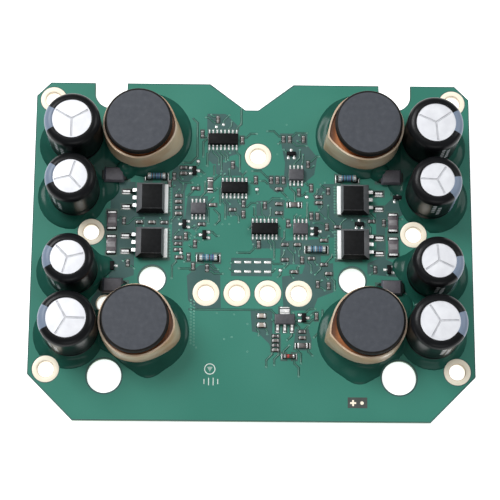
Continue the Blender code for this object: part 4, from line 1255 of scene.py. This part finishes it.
# The copper on top: short traces fan out from the pads to vias, long ones cross the board, and a pour
# fills the rest. The pour keeps clear of every pad and trace, and leaves bare glass under the chips.
bare_areas = [
    [(-15, 45.5), (-9, 45.5), (-4.5, 41), (-4.5, 39.5), (-15, 39.5)],
    [(-14.7, 33), (-5.5, 33), (-4.5, 32), (-9, 30.5), (-10.5, 28.5), (-13, 28.3), (-14.7, 30)],
    [(-12, 28.5), (-7, 29.5), (-4.5, 27), (-3, 24.5), (-10, 24.3), (-12, 25)],
    [(-11, 18), (-2, 18), (-2, 15), (-3.5, 11), (-9, 11), (-9, 15)],
    [(-26, 27.5), (-20, 27.5), (-18, 25), (-21, 22), (-22, 19), (-22, 2), (-26, 2)],
    [(-46, 22), (-38, 22), (-38, 12), (-27, 11), (-27, 6.5), (-38, 6.5), (-38, -9), (-46, -12)],
    [(-21, -9), (-17, -5.5), (-12.5, -5), (-10.3, -8), (-10, -19.5), (-18, -20), (-20.5, -17)],
    [(-6.8, -3), (6.3, -3), (6.3, -9), (-6.8, -9)],
    [(9.5, -9), (16, -8), (17, -5), (26, -4.5), (26, -14), (21, -16), (19.5, -20), (10, -20.2)],
    [(-0.5, -20), (6.5, -19.5), (6.5, -34.5), (5.5, -31), (2, -27.5), (0, -27)],
    [(14, -26), (18, -26), (19, -30), (18, -33), (13, -33)],
    [(18.5, 4), (27, 4), (27, 22), (23, 22), (19.5, 18), (22, 12), (18.5, 12)],
    [(8.8, 39), (17.8, 39), (17.8, 35), (21, 31), (20, 25), (16.5, 22), (10, 22), (10.5, 29), (9.5, 34)],
    [(4.5, 24.5), (11.2, 24.5), (11.2, 21), (8, 18.7), (5.5, 20.5)],
    [(1.2, 16), (10.5, 16.5), (10, 10.5), (1.2, 11)],
    [(-0.5, 4.5), (8.5, 4.5), (11, 2.8), (22, 3.5), (22, -5), (9, -5), (9, 0.2), (0.2, 0.2)],
    [(-21, 17.5), (-14.5, 17.5), (-14.5, 9.5), (-19, 6), (-22, 9)],
    [(40, 12), (49, 21), (49, 12), (43, 8), (43, -3), (49, -6), (47, -9), (37, -8), (37, -4.5), (40, -3)],
    [(27, 11), (38, 11), (38, 6.8), (27, 6.8)],
]
# The board is ruled into small cells, and each cell that is taken knows by what.
cell = 0.3
taken = {}


def cell_at(value):
    return int(math.floor(value / cell))


def cells_of(x, y, width, depth):
    """The cells under a rectangle round a point."""
    columns = range(cell_at(x - width / 2), cell_at(x + width / 2) + 1)
    rows = range(cell_at(y - depth / 2), cell_at(y + depth / 2) + 1)
    return [(column, row) for column in columns for row in rows]


def claim(owner, x, y, width, depth):
    """Takes the cells under a rectangle for their owner."""
    for spot in cells_of(x, y, width, depth):
        taken[spot] = owner


for index, (x, y, width, depth) in enumerate(pads):
    claim(index, x, y, width + 0.3, depth + 0.3)
for x, y in screw_holes:
    claim("bore", x, y, 9.2, 9.2)
for x, y, radius in plain_holes:
    claim("hole", x, y, 2 * radius + 1.5, 2 * radius + 1.5)
for x, y in capacitor_places:
    claim("capacitor", x, y, 17, 17)
for x, y in inductor_places:
    claim("inductor", x, y, 22, 22)


def along_line(points):
    """The cells that a line of points crosses."""
    spots = []
    for (ax, ay), (bx, by) in zip(points, points[1:]):
        count = max(1, int(math.hypot(bx - ax, by - ay) / (cell / 2)))
        for i in range(count + 1):
            spots.append((cell_at(ax + (bx - ax) * i / count), cell_at(ay + (by - ay) * i / count)))
    return spots


routes, via_places = [], []
dice = random.Random(41)


def try_route(points, owner):
    """Keeps a route if it crosses nothing; its own pad's cells are free to it."""
    spots = along_line(points)
    for column, row in spots:
        for right, up in ((0, 0), (1, 0), (-1, 0), (0, 1), (0, -1)):
            if taken.get((column + right, row + up), owner) != owner:
                return False
    for spot in spots:
        taken[spot] = owner
    routes.append(points)
    return True


def stepped(start, legs):
    """Points from a start along (compass eighth, length) legs."""
    points = [start]
    for eighth, length in legs:
        angle = math.radians(45 * eighth)
        x, y = points[-1]
        points.append((x + length * math.cos(angle), y + length * math.sin(angle)))
    return points


def via_at(x, y):
    """A via, which takes the cells round it that are still free."""
    via_places.append((x, y, 0))
    for spot in cells_of(x, y, 0.9, 0.9):
        taken.setdefault(spot, "via")


# Long routes, drawn one by one: round the centre bore, down the left of the 16-pin chip, under the pads.
for start, legs in (
        ((-1.0, 37.3), ((0, 6.0), (7, 4.2), (6, 7.0), (7, 1.6))),
        ((-1.0, 36.4), ((0, 5.6), (7, 3.7), (6, 7.2))),
        ((-19.5, 43.7), ((7, 2.0), (6, 11.5), (5, 3.0), (4, 2.5))), ((-12.6, 27.6), ((6, 3.4),)),
        ((-11.8, 27.6), ((6, 9.0), (7, 1.2), (6, 3.0), (5, 3.4))),
        ((-12.4, 13.0), ((7, 2.4), (6, 2.0), (5, 2.0))),
        ((8.6, -3.0), ((7, 2.0), (6, 3.5), (7, 3.0))), ((-8.0, -3.2), ((5, 4.5), (6, 2.5))),
        ((17.0, -16.8), ((7, 2.2), (6, 5.0))), ((28.0, 12.0), ((7, 2.8), (0, 4.0))),
        ((-20.0, -20.0), ((0, 26.0), (7, 3.0))), ((22.5, -20.0), ((6, 6.0), (5, 4.0)))):
    points = stepped(start, legs)
    if try_route(points, "long"):
        via_at(*points[-1])

# A short route leaves every small pad along its length, bends once or twice and ends at a via.
largest_small_pad, tries, tries_ahead = 3.2, 14, 8
for index, (x, y, width, depth) in enumerate(pads):
    if max(width, depth) > largest_small_pad:
        continue
    outward = (2, 6) if depth >= width else (0, 4)
    if dice.random() < 0.5:
        outward = outward[::-1]
    for attempt in range(tries):
        first = outward[0] if attempt < tries_ahead else outward[1]
        bend = (first + dice.choice((-1, 1))) % 8
        legs = [(first, (depth if first in (2, 6) else width) / 2 + dice.uniform(0.3, 1.0)),
                (bend, dice.uniform(0.4, 3.0))]
        if dice.random() < 0.7:
            legs.append((first, dice.uniform(0.6, 5.5)))
        points = stepped((x, y), legs)
        if abs(points[-1][0]) < 49 and try_route(points, index):
            via_at(*points[-1])
            break

# Columns of stitching vias carry the transistors' and inductors' current to the inner layers.
for side in (-1, 1):
    for x in (26.6, 27.5):
        for row in range(10):
            via_places += [(side * x, 12.4 + 0.95 * row, 0), (side * x, -2.6 + 0.95 * row, 0)]
for row in range(15):
    via_places += [(-19.5, -17.0 - row, 0), (-18.5, -17.5 - row, 0)]
for number in range(60):
    x, y = dice.uniform(-18, 24), dice.uniform(-34, 42)
    if not any(spot in taken for spot in cells_of(x, y, 1.2, 1.2)):
        via_at(x, y)

trace_width = 0.24
trace_tree, given = shape_tree(
    "etched_traces", ("Trace Width", "Float"), ("Trace Height", "Float"), ("Mask", "Material"))
lines = trace_tree.nodes.new("GeometryNodeMeshToCurve")
section = trace_tree.nodes.new("GeometryNodeCurvePrimitiveQuadrilateral")
swept = trace_tree.nodes.new("GeometryNodeCurveToMesh")
swept.inputs["Fill Caps"].default_value = True
wired(trace_tree, (
    (given["Geometry"], lines.inputs["Mesh"]),
    (given["Trace Width"], section.inputs["Width"]),
    (given["Trace Height"], section.inputs["Height"]),
    (lines.outputs["Curve"], swept.inputs["Curve"]),
    (section.outputs["Curve"], swept.inputs["Profile Curve"])), swept.outputs["Mesh"], given["Mask"])

points, edges = [], []
for route in routes:
    edges += [(len(points) + i, len(points) + i + 1) for i in range(len(route) - 1)]
    points += [on_board(x, y, 0.014) for x, y in route]
line_mesh = bpy.data.meshes.new("trace_lines")
line_mesh.from_pydata(points, edges, [])
trace_mask, tree, shader = finish("solder_mask_over_traces", 0.33)
shaded(tree, shader, noise(tree, 60, 2), [
    (0.30, (0.040, 0.165, 0.122)), (0.70, (0.056, 0.200, 0.152))])
traces = grown("mask_over_traces", line_mesh, trace_tree, {
    "Trace Width": trace_width * MM, "Trace Height": 0.045 * MM, "Mask": trace_mask})
fixed(add_piece("mask_over_traces", traces), "solder_mask")

# The etched gap beside each trace and pad fills with mask, so it reads as a dark line. Round the pads the
# darker colour is partly painted shade where the parts meet the board.
clearance = 0.24
cleared_width = trace_width + 2 * clearance
gap_mask_and_shade, tree, shader = finish("mask_in_gaps_and_painted_shade", 0.4, coat=0.1)
shaded(tree, shader, noise(tree, 200, 2), [
    (0.30, (0.020, 0.080, 0.062)), (0.70, (0.032, 0.105, 0.084))])
gaps = grown("mask_in_trace_gaps", line_mesh, trace_tree, {
    "Trace Width": cleared_width * MM, "Trace Height": 0.03 * MM, "Mask": gap_mask_and_shade})
gaps.transform(Matrix.Translation((0, 0, -0.012 * MM)))
fixed(add_piece("mask_in_trace_gaps", gaps), "solder_mask")
gap_shape = bmesh.new()
block(gap_shape, Vector((0, 0, 0)), [(-0.5, 0.5, -0.5, 0.5, -0.01), (-0.5, 0.5, -0.5, 0.5, 0.008)])
gap_places = [(x, y, 0, width + 0.42, depth + 0.42, 1) for x, y, width, depth in pads]
placed("mask_in_pad_gaps", as_mesh(gap_shape, "pad_gap"), gap_places, gap_mask_and_shade, "solder_mask")

via_shape = bmesh.new()
turned(via_shape, Vector((0, 0, 0)), [
    (0, -0.03), (0.32, -0.03), (0.32, 0.04), (0.26, 0.062), (0.16, 0.055), (0.1, 0.0), (0, -0.01)], 12)
via_mask, tree, shader = finish("tented_via_mask", 0.3, coat=0.3)
shaded(tree, shader, noise(tree, 300, 2), [
    (0.30, (0.055, 0.235, 0.175)), (0.70, (0.085, 0.290, 0.220))])
placed("tented_vias", as_mesh(via_shape, "via"), via_places, via_mask, "solder_mask", 50)


def swath(start, end, width):
    """The rectangle that clears one leg of a trace, its ends run on by half its width."""
    (ax, ay), (bx, by) = start, end
    length = math.hypot(bx - ax, by - ay)
    ux, uy = (bx - ax) / length * width / 2, (by - ay) / length * width / 2
    return [(ax - ux + uy, ay - uy - ux), (bx + ux + uy, by + uy - ux),
            (bx + ux - uy, by + uy + ux), (ax - ux - uy, ay - uy + ux)]


def rectangle(x, y, width, depth):
    """A rectangle's outline round a point."""
    return [(x - width / 2, y - depth / 2), (x + width / 2, y - depth / 2),
            (x + width / 2, y + depth / 2), (x - width / 2, y + depth / 2)]


cleared = [circle(x, y, ring_reach + 0.25) for x, y in screw_holes]
cleared += [circle(x, y, radius + 0.5, 72) for x, y, radius in plain_holes]
cleared += [rectangle(x, y, width + 0.5, depth + 0.5) for x, y, width, depth in pads]
cleared += [circle(x, y, 1.1, 16) for x, y in lead_holes]
cleared += [swath(a, b, cleared_width) for route in routes for a, b in zip(route, route[1:])]
pour = sheet("copper_pour", board_outline(0.3), cleared + bare_areas, board_top - 0.01 * MM,
             board_top + 0.035 * MM)
fixed(add_piece("copper_pour", pour, copper_mask), "solder_mask")

bottom_cleared = [circle(x, y, ring_reach + 0.45) for x, y in screw_holes]
bottom_cleared += [circle(x, y, radius + 0.5, 72) for x, y, radius in plain_holes]
bottom_cleared += [circle(x, y, 1.9, 24) for x, y in lead_holes]
for row in range(7):
    for side, straight, bent in ((-1, 4, 3), (1, 0, 1)):
        run = stepped((side * 4.0, 24.0 - 3.2 * row), ((straight, 8.0 + row), (bent, 4.0), (straight, 5.0)))
        bottom_cleared += [swath(a, b, 0.5) for a, b in zip(run, run[1:])]
bottom_pour = sheet("bottom_pour", board_outline(0.45), bottom_cleared, board_bottom - 0.035 * MM,
                    board_bottom + 0.01 * MM)
fixed(add_piece("bottom_pour", bottom_pour, copper_mask), "solder_mask")


# The joints underneath: a cone of solder round each lead of the capacitors and inductors.
joints = bmesh.new()
for x, y in lead_holes:
    turned(joints, on_board(x, y, -board_thickness), [
        (0, -1.05), (0.42, -1.0), (0.5, -0.8), (0.75, -0.35), (1.2, -0.1), (1.45, 0.0), (1.45, 0.03),
        (0, 0.03)], 20)
made("lead_joints", joints, [solder], "tinned_metal", smooth=50)


# Puddles of dark green potting glue hold the tall parts. It was poured round their feet, so it climbs
# each part, sinks to a thin rounded rim and stays off the bores, but for one on the right that it
# covers. Four dabs of it sit on the corners of the power diodes.
glue_skin, tree, shader = finish("set_glue", 0.2, coat=0.05, specular=0.1)
shader.inputs["Coat Roughness"].default_value = 0.14
shaded(tree, shader, noise(tree, 55, 3), [
    (0.3, (0.007, 0.052, 0.038)), (0.7, (0.013, 0.080, 0.060))])
bumped(tree, shader, noise(tree, 90, 2), 0.0003, 0.35)


# The tall parts the glue climbs, as (x, y, radius); the outer capacitors of each row are the wider ones.
tall_parts = [(x, y, 8.9 if y in (36.8, -27.0) else 8.1) for x, y in capacitor_places]
tall_parts += [(x, y, 11.6) for x, y in inductor_places]
glue_edge, glue_level, climb, blend = 70.2, 0.9, 1.5, 1.1


def depth_inside(x, y, rounds, kept_off):
    """How far a place is inside the smooth union of the rounds, and outside the circles kept off."""
    total = 0.0
    for cx, cy, radius in rounds:
        total += math.exp(min(40.0, (radius - math.hypot(x - cx, y - cy)) / blend))
    inside = blend * math.log(max(total, 1e-12))
    for cx, cy, radius in kept_off:
        inside = min(inside, math.hypot(x - cx, y - cy) - radius)
    return min(inside, glue_edge - abs(x))


def glue_height(x, y, inside):
    """The glue's height: a rounded rim, a level middle with a slow swell, and a climb at each tall part."""
    level = glue_level * (1 - math.exp(-max(inside, 0.0) / glue_level))
    gap = min(math.hypot(x - cx, y - cy) - radius for cx, cy, radius in tall_parts)
    creep = climb * math.exp(-max(gap, 0.0) / glue_level) * min(1.0, inside / climb)
    swell = 0.10 * math.sin(0.55 * x + 1.3) * math.sin(0.6 * y) * min(1.0, inside / 2)
    return 0.04 + level + creep + swell


def puddle(name, middle, rounds, kept_off):
    """A puddle, grown from its middle along spokes; rounds and kept_off are circles (x, y, radius)."""
    spokes, ring_count, farthest = 180, 44, 40.0
    shape = bmesh.new()
    rims = []
    for i in range(spokes):
        angle = math.tau * i / spokes
        ux, uy = math.cos(angle), math.sin(angle)
        far = 0.5
        while far < farthest:
            if depth_inside(middle[0] + ux * far, middle[1] + uy * far, rounds, kept_off) <= 0:
                break
            far += 0.1
        rims.append((ux, uy, far - 0.05))
    hub_height = glue_height(*middle, depth_inside(*middle, rounds, kept_off))
    hub = shape.verts.new(on_board(*middle, hub_height))
    rings = []
    for number in range(ring_count):
        part = 1 - (1 - (number + 1) / ring_count) ** 1.25
        ring = []
        for ux, uy, far in rims:
            x, y = middle[0] + ux * far * part, middle[1] + uy * far * part
            inside = max(0.0, min(depth_inside(x, y, rounds, kept_off), far * (1 - part)))
            ring.append(shape.verts.new(on_board(x, y, glue_height(x, y, inside) if part < 1.0 else 0.03)))
        rings.append(ring)
    foot = []
    for ux, uy, far in rims:
        foot.append(shape.verts.new(on_board(middle[0] + ux * far, middle[1] + uy * far, -0.02)))
    rings.append(foot)
    for i in range(spokes):
        j = (i + 1) % spokes
        shape.faces.new((hub, rings[0][i], rings[0][j]))
        for inner, outer in zip(rings, rings[1:]):
            shape.faces.new((inner[i], outer[i], outer[j], inner[j]))
    shape.faces.new(foot[::-1])
    made(name, shape, [glue_skin], "solder_mask", smooth=70)


off = [(x, y, 2.7 if (x, y) in narrow_holes else 4.4) for x, y in screw_holes if (x, y) != hidden_hole]
off += [(x, y, radius + 0.6) for x, y, radius in plain_holes]
off += [(side * slot_middle, 53.0, 6.2) for side in (-1, 1)]
puddle("glue_back_left", (-48, 29), [
    (-58.5, 34.5, 11), (-58.5, 17, 11), (-34.2, 38, 14.3), (-47.5, 20, 4.2), (-47, 30, 7)], off)
puddle("glue_front_left_capacitors", (-57, -19), [
    (-58.5, -8, 10.7), (-58.3, -28.3, 11.3), (-47.2, -6.1, 3.1)], off)
puddle("glue_front_left_inductor", (-36.7, -26), [
    (-33, -27.5, 13), (-33, -38, 4), (-44, -26, 8)], off)
puddle("glue_back_right", (48, 29), [
    (58.5, 34.5, 11), (58.6, 17, 11.2), (34.9, 38, 14.4), (47.5, 22, 3.4), (47, 30, 7)], off)
puddle("glue_front_right_capacitors", (57, -19), [
    (58.5, -8.2, 10.9), (57.5, -28, 11), (48.3, -5.5, 3.3)], off)
puddle("glue_front_right_inductor", (36.7, -26), [
    (34.5, -28.5, 13.8), (34, -39.5, 4), (44, -26, 8), (47.2, -18.2, 4.3)], off)

lobes = bmesh.new()
for side in (-1, 1):
    for y in (26.4, -15.2):
        turned(lobes, on_board(side * 41.2, y), [
            (0, 0.02), (3.6, 0.02), (3.5, 0.35), (3.1, 1.2), (2.5, 2.1), (1.7, 2.7), (0.8, 2.9),
            (0, 2.95)], 48)
made("glue_lobes", lobes, [glue_skin], "solder_mask", smooth=60)


# The printed marks: a plain ring with four bars in pale ink, and a dark box with a plus and a dot that
# shows which way round the supply goes.
pale_ink, tree, shader = finish("pale_ink", 0.6)
shaded(tree, shader, noise(tree, 1500, 3), [
    (0.3, (0.55, 0.62, 0.58)), (0.7, (0.72, 0.78, 0.74))])
dark_window, tree, shader = finish("bare_window", 0.45)
shaded(tree, shader, noise(tree, 500, 3), [
    (0.3, (0.030, 0.040, 0.036)), (0.7, (0.050, 0.060, 0.055))])


def stamp(shape, x, y, height, half_x, half_y, thickness):
    """Adds a thin rectangle of ink round a place."""
    outline = (-half_x, half_x, -half_y, half_y)
    block(shape, on_board(x, y, height), [(*outline, 0.0), (*outline, thickness)])


ink = bmesh.new()
mark_ring = [(1.5, 0.03), (1.78, 0.03), (1.78, 0.055), (1.5, 0.055)]
turned(ink, on_board(-13.3, -39.2), mark_ring, 40, closed=True)
for bar, length in enumerate((1.6, 2.4, 2.4, 1.6)):
    stamp(ink, -15.1 + 1.45 * bar, -43.2, 0.03, 0.13, length / 2, 0.025)
    stamp(ink, -13.3, -38.65 - 0.38 * bar, 0.03, 0.8 - 0.2 * bar, 0.08, 0.025)
made("printed_mark", ink, [pale_ink], "solder_mask")

box = bmesh.new()
stamp(box, 33.4, -49.6, 0.0, 3.1, 1.7, 0.05)
made("supply_box", box, [dark_window], "solder_mask")
sign = bmesh.new()
stamp(sign, 32.0, -49.7, 0.05, 0.95, 0.28, 0.05)
stamp(sign, 32.0, -49.7, 0.05, 0.28, 0.95, 0.04)
turned(sign, on_board(34.8, -49.7), [(0, 0.05), (0.55, 0.05), (0.55, 0.09), (0, 0.1)], 24)
made("supply_signs", sign, [ring_plate], "solder_mask")


# The stage: a long lens looks down on the board from the front. Soft boxes light it from the back left,
# from above, from the right and from the front, and it stands on a sheet of pale paper.
camera_data = bpy.data.cameras.new("camera")
camera_data.lens = 120.8
camera_data.sensor_width = 36.0
camera_data.clip_start = 0.01
camera = bpy.data.objects.new("camera", camera_data)
bpy.context.scene.collection.objects.link(camera)
forward = Vector((0.0167, 0.2339, -0.9721)).normalized()
up = Vector((-0.0095, 0.9723, 0.2338)).normalized()
right = forward.cross(up).normalized()
up = right.cross(forward)
camera.matrix_world = Matrix((
    (right.x, up.x, -forward.x, -0.0098),
    (right.y, up.y, -forward.y, -0.1267),
    (right.z, up.z, -forward.z, 0.5282),
    (0, 0, 0, 1)))
bpy.context.scene.camera = camera

world = bpy.data.worlds.new("studio")
bpy.context.scene.world = world
world.use_nodes = True
background = world.node_tree.nodes["Background"]
background.inputs["Color"].default_value = (1, 1, 1, 1)
background.inputs["Strength"].default_value = 0.30


def add_light(name, x, y, z, width, depth, power):
    """A soft box that faces the board's middle."""
    lamp = bpy.data.lights.new(name, "AREA")
    lamp.shape = "RECTANGLE"
    lamp.size, lamp.size_y = width, depth
    lamp.energy = power
    light = bpy.data.objects.new(name, lamp)
    light.location = (x, y, z)
    light.rotation_euler = (-Vector((x, y, z))).to_track_quat("-Z", "Y").to_euler()
    bpy.context.scene.collection.objects.link(light)


add_light("key_softbox", -0.65, 0.5, 0.95, 0.6, 0.5, 11.5)
add_light("overhead_softbox", -0.2, 0.3, 1.2, 0.9, 0.9, 3.0)
add_light("right_softbox", 0.85, 0.25, 0.75, 0.5, 0.5, 3.2)
add_light("front_fill", 0.1, -0.95, 0.6, 0.7, 0.4, 1.6)

paper, tree, shader = finish("pale_paper", 0.9)
shader.inputs["Emission Color"].default_value = (1, 1, 1, 1)
shader.inputs["Emission Strength"].default_value = 0.75
shaded(tree, shader, noise(tree, 4), [
    (0.3, (0.93, 0.93, 0.93)), (0.7, (0.96, 0.96, 0.96))])
floor_mesh = bpy.data.meshes.new("floor")
reach = 3.0
floor_corners = [(-reach, -reach, 0), (reach, -reach, 0), (reach, reach, 0), (-reach, reach, 0)]
floor_mesh.from_pydata(floor_corners, [], [(0, 1, 2, 3)])
floor = add_piece("floor", floor_mesh, paper)
bpy.context.scene.view_settings.view_transform = "Standard"
